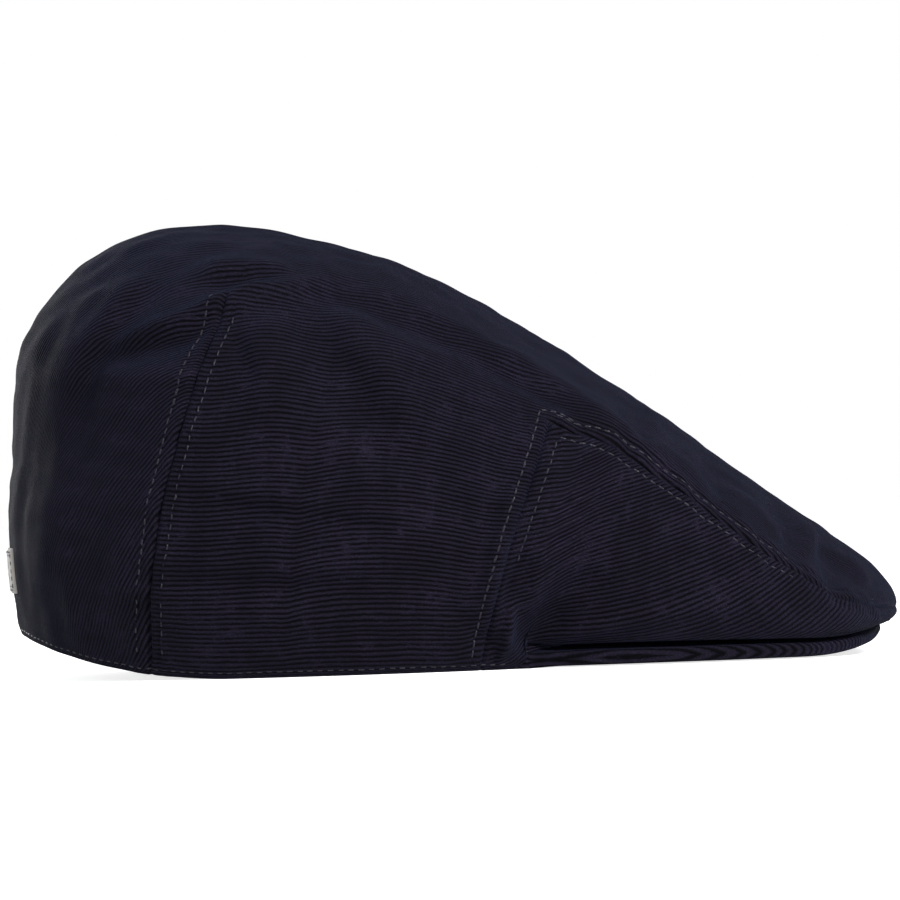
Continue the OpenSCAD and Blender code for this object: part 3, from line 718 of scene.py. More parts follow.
def corduroy(context):
    m, w, shader = blank_material("Navy corduroy")
    if w is None:
        return m
    sizes, colours = context.scene.cap_sizes, context.scene.cap_colours
    cloth = use_group(w, corduroy_group(), Pitch=sizes.wale_pitch / MM)
    lint = use_group(w, lint_group(), Amount=0.35)
    # Painted sheen and wear: ruffled patches of nap are painted lighter and darker, as brushed pile catches
    # the light, mixed with wear of the pile.
    ruffled = w.ramp(cloth.outputs["Ruffle"], 0.34, 0.66)
    nap_sheen_and_wear = w.blend(ruffled, rgba(colours.pile, 0.45), rgba(colours.pile, 1.75))
    pile = w.blend(w.ramp(cloth.outputs["Fuzz"], 0.40, 0.78), rgba(colours.pile, 0.45), nap_sheen_and_wear)
    pile = w.blend(cloth.outputs["Fleck"], pile, rgba(colours.fleck))
    # Painted shade: the furrows between the wales are painted near black over the bare cloth there.
    base = w.blend(cloth.outputs["Pile"], rgba(colours.shaded_ground), pile)
    base = w.blend(lint.outputs[0], base, (0.06, 0.06, 0.075, 1))
    w.to(base, shader.inputs["Base Color"])
    rough = w.math("ADD", w.math("MULTIPLY", cloth.outputs["Ruffle"], 0.16), 0.72)
    w.to(rough, shader.inputs["Roughness"])
    settle(
        shader, Specular_IOR_Level=0.05, Sheen_Weight=0.035,
        Sheen_Roughness=0.38, Sheen_Tint=(0.32, 0.46, 1.0, 1),
    )
    bump = w.node(
        "ShaderNodeBump", None, Height=cloth.outputs["Height"], Strength=1.0, Distance=sizes.wale_height
    )
    w.to(bump.outputs[0], shader.inputs["Normal"])
    return m


def woven(context, name, colour, threads, sheen, rough, strength=0.4, spread=0.35, depth=0.08):
    m, w, shader = blank_material(name)
    if w is None:
        return m
    weave = use_group(w, weave_group(), Threads_per_mm=threads)
    lit = w.ramp(weave.outputs["Shade"], -0.4, 0.6)
    base = w.blend(lit, rgba(colour, 1 - spread), rgba(colour, 1 + spread))
    w.to(base, shader.inputs["Base Color"])
    w.to(w.math("ADD", w.math("MULTIPLY", weave.outputs["Shade"], 0.12), rough), shader.inputs["Roughness"])
    settle(shader, Sheen_Weight=sheen, Sheen_Roughness=0.45, Specular_IOR_Level=0.35)
    w.raise_by(shader, weave.outputs["Height"], strength, depth)
    return m


def label_cloth(context, name, half_w, half_h, colour, dark):
    """A damask-woven label: a dark line round the border and two rows of small plain blocks."""
    m, w, shader = blank_material(name)
    if w is None:
        return m
    weave = use_group(w, weave_group(), Threads_per_mm=3.0)
    mm = w.cloth_mm()
    part = w.node("ShaderNodeSeparateXYZ", None, i0=mm)
    ax, ay = w.math("ABSOLUTE", part.outputs[0]), w.math("ABSOLUTE", part.outputs[1])
    border = w.math("MAXIMUM", w.math("SUBTRACT", ax, half_w - 2.2), w.math("SUBTRACT", ay, half_h - 2.2))
    line = w.math("MULTIPLY", w.ramp(border, -0.35, -0.2), w.ramp(border, 0.3, 0.15))
    blocks = w.math("SINE", w.math("MULTIPLY", part.outputs[0], 2.4))
    rows = w.math("ABSOLUTE", w.math("SUBTRACT", ay, 0.24 * half_h))
    mark = w.math(
        "MULTIPLY",
        w.math("MULTIPLY", w.ramp(blocks, 0.1, 0.3), w.ramp(rows, 0.15 * half_h, 0.12 * half_h)),
        w.ramp(ax, half_w * 0.66, half_w * 0.62),
    )
    ink = w.math("MAXIMUM", line, mark)
    # Painted shade: the label's cloth is painted darker where its threads dip under, mixed with the yarns'
    # uneven tone.
    shaded_ground = w.blend(w.ramp(weave.outputs["Shade"], -0.4, 0.6), rgba(colour, 0.7), rgba(colour, 1.15))
    w.to(w.blend(ink, shaded_ground, rgba(dark)), shader.inputs["Base Color"])
    settle(shader, Roughness=0.7, Sheen_Weight=0.15)
    w.raise_by(shader, weave.outputs["Height"], 0.5, 0.1)
    return m


def thread_material(context):
    m, w, shader = blank_material("Navy thread")
    if w is None:
        return m
    colour = context.scene.cap_colours.thread
    uv = w.node("ShaderNodeUVMap", {"uv_map": "UVMap"}).outputs[0]
    part = w.node("ShaderNodeSeparateXYZ", None, i0=uv)
    along, around = w.math("MULTIPLY", part.outputs[0], 26.0), w.math("MULTIPLY", part.outputs[1], 6.2832)
    twist = w.math("ADD", along, around)
    ply = w.math("SINE", twist)
    # Painted shade: the strands of the twisted ply are painted light and the grooves between them dark.
    base = w.blend(w.ramp(ply, -0.8, 0.9), rgba(colour, 0.35), rgba(colour, 1.25))
    w.to(base, shader.inputs["Base Color"])
    w.to(w.math("ADD", w.math("MULTIPLY", ply, 0.06), 0.42), shader.inputs["Roughness"])
    settle(shader, Specular_IOR_Level=0.3, Sheen_Weight=0.06, Sheen_Roughness=0.4)
    w.raise_by(shader, ply, 0.6, 0.06)
    return m


# ------------------------------------------------------------------ the shaped cloth of the outside

HEM_R = 0.9  # radius of every turned edge
HEM_STEPS = 6
HEM_IN = 5
DEEPEST = 2.6  # how far a crease may sink before it would reach the lining


class Shell:
    """The shaped outer cloth: one lattice from the left rim over the top to the right rim."""

    def __init__(self, strength):
        stations = np.linspace(0, BACK, 401)
        line = crown_half(stations, np.array([1.0]))[0]
        step = np.linalg.norm(np.diff(line, axis=0), axis=1) * 40

        def along(x):
            return float(np.interp(x + 0.012, stations[:-1], step))

        self.u = clustered(0.0, BACK, 1.9, 0.55, [CORNER, SEAM, DART], 5.5, along)
        self.v = np.concatenate(
            [
                clustered(0.0, 2.0, 1.9, 0.6, [2.0], 5.5, lambda x: 48.0),
                clustered(2.0, 3.0, 1.9, 0.6, [2.0], 5.5, lambda x: 84.0)[1:],
            ]
        )
        self.half = crown_half(self.u, self.v)
        self.rows, self.cols = len(self.v), len(self.u)
        self.shoulder = nearest(self.v, 2)
        self.seam = nearest(self.u, SEAM)
        self.dart = nearest(self.u, DART)
        self.correct_profile()
        self.seam_distances()
        self.wales()
        self.full()
        self.relief(strength)

    def correct_profile(self):
        """Fills the back of the crown out and rounds the nose, square to the ribs."""
        g = self.half
        u, v = self.u[None, :], self.v[:, None]
        near_back = smooth((u - 8.2) / 1.8)
        bulge = 2.0 * near_back * bell(v, 2.45, 0.3) - near_back * bell(v, 1.15, 0.6)
        bulge = bulge + 0.9 * near_back * bell(v, 1.7, 0.22)
        nose = 1 - smooth(u / 2.2)
        bulge = bulge + 0.7 * nose * bell(g[..., 2], 17.0, 6.0)
        n = grid_normals(whole(g))[: self.rows]
        self.half = g + bulge[..., None] * n

    def seam_distances(self):
        g = self.half
        along, up = running(g, 1), running(g)
        self.along, self.up = along, up
        self.to_seam = along - along[:, self.seam : self.seam + 1]
        self.to_dart = along - along[:, self.dart : self.dart + 1]
        self.to_shoulder = up - up[self.shoulder]

    def wales(self):
        front, back, k = wale_field(self.half, self.u, self.v)
        reach = front[0, -1]
        depth = front[0]
        from_seam = np.where(np.arange(k + 1) < self.seam, depth[self.seam], depth)
        share = np.clip(front / from_seam, 0, 1)
        ease = smooth(share) * (reach - from_seam)
        below = np.maximum(0, -self.to_shoulder[:, k:])
        lean = 0.8 * smooth(back / 62.0) * below**2 / (below + 26.0)
        self.wale_front, self.wale_back = front + ease, back + lean

    def full(self):
        self.grid = whole(self.half)
        self.normal = grid_normals(self.grid)
        self.total = self.grid.shape[0]

    def both(self, half):
        return np.concatenate([half, half[-2::-1]], 0)

    def relief(self, strength):
        """Lifts and sinks the cloth: creases, seams that pull in, and the padded edges beside them."""
        g = self.grid
        side = np.where(np.arange(self.total) < self.rows, 1, -1)
        lift = np.where(
            side[:, None] > 0, crease_height(g, "left", strength), crease_height(g, "right", strength)
        )
        lift += (
            0.3 * strength * ripple(g, 21, 3) * smooth(abs(g[..., 1]) / 30.0)
            + 0.16 * strength * ripple(g, 8, 5, (1, 1, 1.6))
        )
        u, v = self.u[None, :], self.both(self.v[:, None])
        seam, dart, shoulder = (self.both(d) for d in (self.to_seam, self.to_dart, self.to_shoulder))
        up, along = self.both(self.up), self.both(self.along)

        def pulled(d, run, seed):
            rng = np.random.default_rng(seed)
            a, b, c = rng.uniform(0, 6.28, 3)
            uneven = 0.6 * np.sin(run / 2.1 + a) + 0.5 * np.sin(run / 3.7 + b) + 0.5 * np.sin(run / 1.35 + c)
            far = abs(d)
            ditch = -0.85 * bell(far, 0, 0.6) - 0.25 * bell(far, 0, 2.4)
            pad = 0.42 * smooth(far / 1.4) * (1 - smooth((far - 5.2) / 3.0))
            sewn = -0.34 * bell(far, 3.7, 0.7)
            pucker = 0.42 * uneven * bell(far, 3.0, 4.2) * smooth(far / 1.2)
            return ditch + pad + sewn + pucker

        wall, front = v <= 2 + 1e-6, u <= SEAM + 1e-6
        below = smooth((2.02 - v) / 0.05)
        lift += pulled(seam, up, 11) * np.where(wall, 1, 0) * below
        dart_end = smooth(-shoulder / 5.0 + 0.4)
        lift += pulled(dart, up, 12) * dart_end
        band_end = smooth(seam / -5.0 + 0.5)
        by_seam = np.where(front, 1, smooth(1 - seam / 3.0))
        lift += pulled(shoulder, along, 13) * by_seam * np.maximum(band_end, 0)
        nose_calm = smooth((u - 0.25) / 1.2)
        lift = lift * (0.15 + 0.85 * nose_calm)
        edge_calm = smooth(up / 6.0)
        lift = lift * (0.25 + 0.75 * edge_calm)
        beside, above = (abs(g[..., 1]) - LABEL_W / 2) / 6.0, (abs(g[..., 2] - LABEL_Z) - LABEL_H / 2) / 6.0
        under_label = (1 - smooth(beside)) * (1 - smooth(above)) * (u > DART)
        lift = np.where(lift < 0, -DEEPEST * np.tanh(-lift / DEEPEST), lift)
        self.lift = lift * (1 - under_label)
        self.shaped = g + self.lift[..., None] * self.normal
        self.shaped[:, [0, -1], 1] = 0.0
        low = np.clip(1 - up / 4.0, 0, 1) ** 2
        self.shaped[..., 2] = np.maximum(self.shaped[..., 2] + HEM_R * low, HEM_R)
        self.shaped_normal = grid_normals(self.shaped)

    def hem(self):
        """Rows that carry the lower edge round its fold: up inside the rim, or in under the band."""
        edge = self.shaped[[0, -1]]
        out = unit(self.normal[[0, -1]] * [1, 1, 0])
        turns = np.radians(np.linspace(0, 180, HEM_STEPS + 1)[1:])
        rows = []
        for a in turns:
            rows.append(edge - out * HEM_R * (1 - math.cos(a)) - np.array([0, 0, HEM_R * math.sin(a)]))
        last = rows[-1]
        root = at_rim(self.u, -0.4, BRIM_T + 0.1)
        inside = at_rim(self.u, 2 * HEM_R, 9.0)
        w = smooth((self.u - CORNER) / CORNER_TURN)[:, None]
        target = root * (1 - w) + inside * w
        target = np.stack([target, target * FLIP])
        for k in range(1, HEM_IN + 1):
            t = k / HEM_IN
            rows.append(last * (1 - t) + target * t)
        return np.array(rows)


def outer_uv(shell):
    """Cloth coordinates of the crown in metres, one set in front of the dart and one behind."""
    reach = shell.along
    front = np.zeros((shell.rows, shell.cols, 2))
    back = np.zeros((shell.rows, shell.cols, 2))
    k = shell.dart
    front[:, : k + 1, 0], front[:, : k + 1, 1] = reach[:, : k + 1], shell.wale_front
    back[:, k:, 0], back[:, k:, 1] = shell.up[:, k:], shell.wale_back
    return front * MM, back * MM


def shell_rows(shell, hem_rows):
    """Lattice of the shaped cloth with the hem's rows before and after it."""
    left = hem_rows[::-1, 0]
    right = hem_rows[:, 1]
    return np.concatenate([left, shell.shaped, right], 0)


# ------------------------------------------------------------------ stitches


class Stitcher:
    """Collects stitches and turns them into one mesh of twisted, sunken threads."""

    SIDES, RINGS = 7, 6

    def __init__(self, thickness, pitch, seed):
        self.r, self.pitch = thickness / 2, pitch
        self.points, self.faces, self.uvs = [], [], []
        self.rng = np.random.default_rng(seed)

    def stitch(self, a, b, normal):
        d = b - a
        length = np.linalg.norm(d)
        if length < 0.5:
            return
        d = d / length
        normal = unit(normal - (normal @ d) * d)
        side = np.cross(normal, d)
        start = len(self.points)
        wide = 1 + 0.1 * self.rng.normal()
        for k in range(self.RINGS):
            t = k / (self.RINGS - 1)
            arch = 1 - abs(2 * t - 1) ** 7
            centre = a + d * length * t + normal * (self.r * (1.25 * arch - 0.75))
            r = self.r * wide * (0.72 + 0.28 * arch)
            for s in range(self.SIDES):
                ang = 2 * math.pi * s / self.SIDES
                self.points.append(centre + r * (math.cos(ang) * normal * 0.85 + math.sin(ang) * side * 1.1))
                self.uvs.append((t * length * 0.1 * 3, s / self.SIDES))
        for k in range(self.RINGS - 1):
            for s in range(self.SIDES):
                i, j = start + k * self.SIDES + s, start + k * self.SIDES + (s + 1) % self.SIDES
                self.faces.append((i, i + self.SIDES, j + self.SIDES, j))
        self.faces.append(tuple(start + s for s in range(self.SIDES)))
        last = start + (self.RINGS - 1) * self.SIDES
        self.faces.append(tuple(last + s for s in reversed(range(self.SIDES))))

    def row(self, line, normals, pitch=None, gap=0.24, wobble=0.12):
        """Stitches along a line of points with normals, all in mm."""
        pitch = pitch or self.pitch
        lengths = running(line)
        if lengths[-1] < pitch:
            return
        n = max(1, int(round(lengths[-1] / pitch)))
        step = lengths[-1] / n

        def at(s, of):
            return np.array([np.interp(s, lengths, of[:, i]) for i in range(3)])

        for k in range(n):
            a = (k + gap / 2 + 0.03 * self.rng.normal()) * step
            b = (k + 1 - gap / 2 + 0.03 * self.rng.normal()) * step
            pa, pb, nn = at(a, line), at(b, line), unit(at((a + b) / 2, normals))
            sway = np.cross(nn, unit(pb - pa)) * wobble
            self.stitch(pa + sway * self.rng.normal(), pb + sway * self.rng.normal(), nn)

    def build(self, name, material):
        return mesh_object(name, np.array(self.points), self.faces, self.uvs, material)


def cross_line(values, points, normals, target):
    """Where each row of values crosses target: the points and normals there, in mm."""
    out_p, out_n = [], []
    for row, p, n in zip(values, points, normals):
        order = np.argsort(row)
        row, p, n = row[order], p[order], n[order]
        if not row[0] <= target <= row[-1]:
            continue
        k = min(np.searchsorted(row, target), len(row) - 1)
        k = max(k, 1)
        t = (target - row[k - 1]) / max(row[k] - row[k - 1], 1e-9)
        out_p.append(p[k - 1] * (1 - t) + p[k] * t)
        out_n.append(n[k - 1] * (1 - t) + n[k] * t)
    return np.array(out_p), np.array(out_n)


_made = {}


def shell_of(context):
    if "shell" not in _made:
        _made["shell"] = Shell(context.scene.cap_sizes.crease_strength)
    return _made["shell"]


def stitcher(context, seed):
    sizes = context.scene.cap_sizes
    return Stitcher(sizes.thread_thickness / MM, sizes.stitch_pitch / MM, seed)


# ------------------------------------------------------------------ pieces


class CAP_OT_crown_panel(bpy.types.Operator):
    """Cuts and shapes the corduroy crown, with its two rear darts"""

    bl_idname = "cap.crown_panel"
    bl_label = "Crown panel"

    def execute(self, context):
        shell = shell_of(context)
        hem = shell.hem()
        g = shell_rows(shell, hem)
        extra = len(hem)
        rows, cols = g.shape[:2]
        s0, s1 = extra + shell.shoulder, rows - 1 - extra - shell.shoulder
        front_uv, back_uv = outer_uv(shell)
        left_of_spine = np.arange(shell.total) < shell.rows

        def spread(half):
            full = shell.both(half).copy()
            full[~left_of_spine, :, 1] *= -1
            steps = np.arange(1, extra + 1)[:, None] * np.array([[0.0, 1.0]]) * MM
            first = full[0][None] + steps[::-1][:, None, :] * [0, 1]
            last = full[-1][None] - steps[:, None, :] * [0, 1]
            return np.concatenate([first, full, last], 0)

        uv_front, uv_back = spread(front_uv), spread(back_uv)
        points = np.concatenate([g.reshape(-1, 3), g.reshape(-1, 3)])
        uvs = np.concatenate([uv_front.reshape(-1, 2), uv_back.reshape(-1, 2)])

        def top(r):
            return (r >= s0) & (r < s1)

        ahead = grid_faces(rows, cols, lambda r, c: (top(r) | (c >= shell.seam)) & (c < shell.dart))
        behind = grid_faces(rows, cols, lambda r, c: c >= shell.dart) + rows * cols
        obj = mesh_object(
            "crown_panel_cloth", points, np.concatenate([ahead, behind]), uvs, corduroy(context)
        )
        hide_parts("crown_panel")
        return {"FINISHED"}


class CAP_OT_front_band(bpy.types.Operator):
    """Shapes the horseshoe front band and folds it down over the brim"""

    bl_idname = "cap.front_band"
    bl_label = "Front band"

    def execute(self, context):
        shell = shell_of(context)
        hem = shell.hem()
        side_rows = shell.shoulder + 1
        cols = shell.seam + 1
        edge = crown_edge(shell.u[:cols])
        plan = np.diff(edge[:, :2], axis=0)
        run = np.linalg.norm(plan, axis=1)
        heading = np.arctan2(plan[:, 1], -plan[:, 0])
        arc = np.cumsum(run) - run / 2
        far = np.concatenate([-arc[::-1], arc])
        near = bell(arc[:, None], far[None], 9.0) * np.concatenate([run[::-1], run])
        heading = (near @ np.concatenate([math.pi - heading[::-1], heading])) / near.sum(1)
        flat_heading = heading * (8 / 9) + math.radians(9.5)
        flat = np.concatenate(
            [
                [[0, 0]],
                np.cumsum(np.stack([-np.cos(flat_heading), np.sin(flat_heading)], 1) * run[:, None], 0),
            ]
        )
        between = (flat_heading[1:] + flat_heading[:-1]) / 2
        mid = np.concatenate([flat_heading[:1], between, flat_heading[-1:]])
        out = np.stack([np.sin(mid), np.cos(mid)], 1)
        # The step behind the brim's corner is evened out, so that the wales run on past it.
        at = np.concatenate([[0], np.cumsum(run)])
        even = bell(at[:, None], at[None], 7.0) * np.gradient(at)
        base = shell.up[nearest(shell.v, 0.3), :cols]
        height = shell.up[:side_rows, :cols] - base + (even @ base) / even.sum(1)
        cloth = flat[None] + out[None] * height[..., None]
        extra = len(hem)
        under = flat[None] - out[None] * (np.arange(extra, 0, -1) * 1.0)[:, None, None]
        cloth = np.concatenate([under, cloth], 0)
        halves, uvs, faces, count = [], [], [], 0
        for side in (0, 1):
            body = shell.shaped[:side_rows, :cols] if side == 0 else shell.shaped[::-1][:side_rows, :cols]
            g = np.concatenate([hem[::-1, side, :cols], body], 0)
            uv = cloth * [1, 1 if side == 0 else -1] * MM
            halves.append(g.reshape(-1, 3))
            uvs.append(uv.reshape(-1, 2))
            f = grid_faces(*g.shape[:2]) + count
            faces.append(f if side == 0 else f[:, ::-1])
            count += g.shape[0] * g.shape[1]
        obj = mesh_object(
            "front_band_cloth", np.concatenate(halves), np.concatenate(faces), np.concatenate(uvs),
            corduroy(context),
        )
        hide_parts("front_band")

        fusible = woven(context, "Fusible interlining", (0.22, 0.22, 0.23), 1.2, 0.0, 0.85, 0.4, 0.25, 0.08)
        low, last = nearest(shell.v, 0.3), shell.seam - 8
        deep = (shell.shaped - (1.6 + CORDUROY_T / 4) * shell.shaped_normal)[:, :last]
        inner = np.stack([deep[low : side_rows - 6], deep[::-1][low : side_rows - 6]])
        uv = np.stack([cloth[extra + low : extra + side_rows - 6, :last] * [1, w] for w in (1, -1)]) * MM
        one = grid_faces(*inner.shape[1:3])
        obj = mesh_object(
            "front_band_interlining_cloth", inner.reshape(-1, 3),
            np.concatenate([one, one[:, ::-1] + inner[0].size // 3]), uv.reshape(-1, 2), fusible,
        )
        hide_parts("front_band_interlining")
        return {"FINISHED"}


class CAP_OT_brim(bpy.types.Operator):
    """Builds the brim: its top and under covers, and the board between them"""

    bl_idname = "cap.brim"
    bl_label = "Brim"

    def execute(self, context):
        half = clustered(0.0, CORNER + BRIM_TUCK, 1.9, 1.9, [CORNER], 1, lambda x: 34.0)
        u = np.concatenate([-half[:0:-1], half])
        side = np.sign(u) + (u == 0)
        a = abs(u)
        sign = sided(side)
        tuck = smooth((a - CORNER) / BRIM_TUCK)
        root = at_rim(a, -0.3 + 2.1 * tuck, 0) * sign
        edge = through(BRIM_EDGE, np.minimum(a, CORNER), BRIM_EDGE[1] * FLIP, FOLD_END * [1, 1, 0])
        edge = np.where((a > CORNER)[:, None], at_rim(a, -1.5 + 2.1 * tuck, 0), edge) * sign
        reach = np.linalg.norm((edge - root)[:, :2], axis=1)
        lip = np.minimum(3.2, 0.5 * reach)
        t = np.linspace(0, 1, 34)
        turns = np.radians(np.linspace(0, 90, 9)[1:])
        flat = root[None] + (edge - root)[None] * (t[:, None] * ((reach - lip) / reach)[None])[..., None]
        corner = flat[-1]
        way = unit((edge - root) * [1, 1, 0])
        sag = 0.12 * ripple(flat, 15, 21)
        covers = ("brim_top_cloth", "brim_top_cover", 1), ("brim_under_cloth", "brim_under_cover", -1)
        for name, node, up in covers:
            mid = BRIM_T / 2
            body = flat + np.stack([0 * sag, 0 * sag, mid + up * (mid + sag * 0.5)], -1)
            lips = []
            for turn in turns:
                drop = np.cos(turn) ** 0.8 if turn < math.pi / 2 - 1e-6 else 0.0
                push = np.sin(turn) ** 0.8
                seam = np.minimum(0.35, 0.05 * reach)[:, None] * bell(math.pi / 2, turn, 0.25)
                lips.append(
                    corner + way * (lip[:, None] * push - seam) + [0, 0, mid + up * (mid * drop)]
                    + (edge - corner) * [0, 0, 1] * push
                )
            g = np.concatenate([body, np.array(lips)], 0)
            arc = running(g)
            uv = (root[None, :, :2] + arc[..., None] * way[None, :, :2]) * MM
            obj = mesh_object(
                name, g.reshape(-1, 3), grid_faces(*g.shape[:2], flip=up < 0), uv.reshape(-1, 2),
                corduroy(context),
            )
            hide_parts(node)
        board = woven(context, "Brim board", (0.62, 0.62, 0.60), 0.8, 0.0, 0.5, 0.15, 0.06, 0.05)
        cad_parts["brim_board"].data.materials.clear()
        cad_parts["brim_board"].data.materials.append(board)
        return {"FINISHED"}


LINING_DEPTH = WALL_T - LINING_R - LINING_T


def lining_rails():
    edge_ease, top_ease = 4.0, 4.0

    def inset(p):
        u = np.arange(6, 11).astype(float)
        d = rail(p, u + 0.01) - rail(p, u - 0.01)
        n = unit(np.stack([d[:, 1], -d[:, 0], 0 * u], 1))
        n[-1] = [-1, 0, 0]
        return p[6:] - edge_ease * n

    front = np.arange(0, 6).astype(float)
    middle = np.vstack([at_rim(front, LINING_DEPTH - 1.0, 20.0), inset(MIDDLE_RAIL)])
    shoulder = np.vstack(
        [
            place([[80, 0, 34], [79.3, 17, 34.5], [77, 33.5, 36], [73, 49, 38.5], [67.5, 62.5, 42],
                   [61.5, 71, 47.5]]),
            inset(SHOULDER_RAIL) - [0, 0, 2],
        ]
    )
    spine = np.vstack(
        [
            place([[80, 0, 34], [78.5, 0, 40], [75.5, 0, 47], [71.5, 0, 54], [67, 0, 60.5], [63, 0, 66]]),
            SPINE_RAIL[6:] - [0, 0, top_ease],
        ]
    )
    return middle, shoulder, spine


def lining_half(u, v):
    middle, shoulder, spine = lining_rails()
    ends = place([[80, 0, 28], [17, 0, 96]])
    return rib(
        at_rim(u, LINING_DEPTH, 1.0), rail(middle, u), rail(shoulder, u), through(spine, u, ends[0], ends[1]),
        np.array([0, 0, 1.0]), u, v,
    )


class CAP_OT_lining(bpy.types.Operator):
    """Makes up the satin lining from its top and two sides"""

    bl_idname = "cap.lining"
    bl_label = "Lining"

    def execute(self, context):
        satin = woven(
            context, "Lining satin", context.scene.cap_colours.lining, 4.0, 0.1, 0.34, 0.25, 0.3, 0.03
        )
        u = clustered(0.0, BACK, 3.2, 3.2, [], 1, lambda x: 34.0)
        v = np.concatenate(
            [
                clustered(0.0, 2.0, 3.2, 1.0, [2.0], 3, lambda x: 46.0),
                clustered(2.0, 3.0, 3.2, 1.0, [2.0], 3, lambda x: 80.0)[1:],
            ]
        )
        half = lining_half(u, v)
        g = whole(half)
        n = grid_normals(g)
        shoulder = nearest(v, 2)
        vv = np.concatenate([v, v[-2::-1]])[:, None]
        seam = abs(vv - 2) * np.where(vv < 2, 46.0, 80.0)
        free = smooth(vv * 46 / 18)
        sag = -(1.0 * abs(ripple(g, 26, 31)) + 0.5 * ripple(g, 9, 32, (1, 1, 0.5))) * free - 0.7 * free
        tuck = 0.5 * bell(seam, 0, 1.0)
        g = g + (sag + tuck)[..., None] * n
        g[:, [0, -1], 1] = 0
        uv = (np.stack([running(g, 1), running(g)], -1) * MM).reshape(-1, 2)
        last = g.shape[0] - 1 - shoulder
        parts = {
            "lining_top": lambda r, c: (r >= shoulder) & (r < last),
            "lining_side_left": lambda r, c: r < shoulder,
            "lining_side_right": lambda r, c: r >= last,
        }
        flats = {"lining_top": ((0.24, 0.17), 0.031), "lining_side_left": ((0.30, 0.11), 0.026)}
        flats["lining_side_right"] = flats["lining_side_left"]
        for node, keep in parts.items():
            faces = grid_faces(*g.shape[:2], keep=keep)
            obj = mesh_object(node + "_cloth", g.reshape(-1, 3), faces, uv, satin)
            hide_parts(node)
        _made["lining"] = (g, n, u, v, shoulder)
        thread = stitcher(context, 41)
        for row in (shoulder + 2, g.shape[0] - 1 - shoulder - 2):
            line = g[row] - 0.25 * n[row]
            thread.row(line[4:], -n[row][4:], pitch=2.6)
        obj = thread.build("lining_seam_thread", thread_material(context))
        return {"FINISHED"}


def rim_ring(step):
    """Stations all round the rim from the nose, and the sign of each side."""
    half = clustered(0.0, BACK, step, step, [], 1, lambda x: 30.0)
    u = np.concatenate([half, half[-2::-1]])
    sign = np.concatenate([np.ones(len(half)), -np.ones(len(half) - 1)])
    return u, sided(sign)


def ring_cloth(name, profile, step, material, seed, wobble):
    """A closed strip round the opening. profile is a list of (depth, height)."""
    u, sign = rim_ring(step)
    rows = []
    for depth, z in profile:
        p = at_rim(u, depth, z) * sign
        out = unit((p - [HEAD_X, 0, 0]) * [1 / RIM_A**2, 1 / RIM_B**2, 0])
        soft = wobble * ripple(p, 17, seed) * smooth(np.array(z / 12.0))
        rows.append(p - out * abs(soft)[:, None])
    g = np.array(rows)
    around, across = running(g[0])[None, :], running(np.array(profile))[:, None]
    uv = np.stack(np.broadcast_arrays(around, across), -1) * MM
    return mesh_object(name, g.reshape(-1, 3), grid_faces(*g.shape[:2]), uv.reshape(-1, 2), material), g


class CAP_OT_headband(bpy.types.Operator):
    """Puts in the sweatband and the stay tape behind it"""

    bl_idname = "cap.headband"
    bl_label = "Sweatband and tape"

    def execute(self, context):
        cotton = woven(context, "Sweatband cotton", (0.010, 0.011, 0.016), 1.7, 0.18, 0.72, 0.7, 0.5, 0.15)
        tape = woven(context, "Cotton tape", (0.55, 0.55, 0.53), 1.4, 0.1, 0.8, 0.6, 0.15, 0.12)
        inner, outer = WALL_T + 0.1, WALL_T - SWEATBAND_T + 0.1
        top = SWEATBAND_H
        profile = [(outer, 4), (outer, 1.2), (outer + 0.15, 0.4), ((inner + outer) / 2, 0.05)]
        profile += [(inner - 0.15, 0.4), (inner, 1.2), (inner + 0.1, 3), (inner + 0.4, 4.4)]
        profile += [(inner + 0.55, z) for z in np.linspace(7, top - 5.5, 8)]
        profile += [(inner + 0.3, top - 3.2), (inner + 0.1, top - 2.6), (inner + 0.35, top - 1.8)]
        profile += [(inner + 0.15, top - 0.6), ((inner + outer) / 2, top), (outer + 0.1, top - 0.6)]
        profile += [(outer, top - 4)]
        obj, _ = ring_cloth("sweatband_cloth", profile, 2.4, cotton, 51, 0.5)
        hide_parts("sweatband")
        near, far = WALL_T - TAPE_R, WALL_T - TAPE_R - TAPE_T
        loop = [(near, 0.6), (near, 5), (near, 10), (near - TAPE_T / 2, 10.2), (far, 10), (far, 0.6)]
        obj, _ = ring_cloth("rim_tape_cloth", loop, 3.0, tape, 52, 0.0)
        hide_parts("rim_tape")
        thread = stitcher(context, 53)
        u, sign = rim_ring(1.2)
        for z, d in ((3.7, inner + 0.3), (SWEATBAND_H - 2.6, inner + 0.2)):
            line = at_rim(u, d, z) * sign
            out = -unit((line - [HEAD_X, 0, 0]) * [1 / RIM_A**2, 1 / RIM_B**2, 0])
            thread.row(line, out, pitch=3.3)
        obj = thread.build("sweatband_thread", thread_material(context))
        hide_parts("sweatband_stitches")
        return {"FINISHED"}


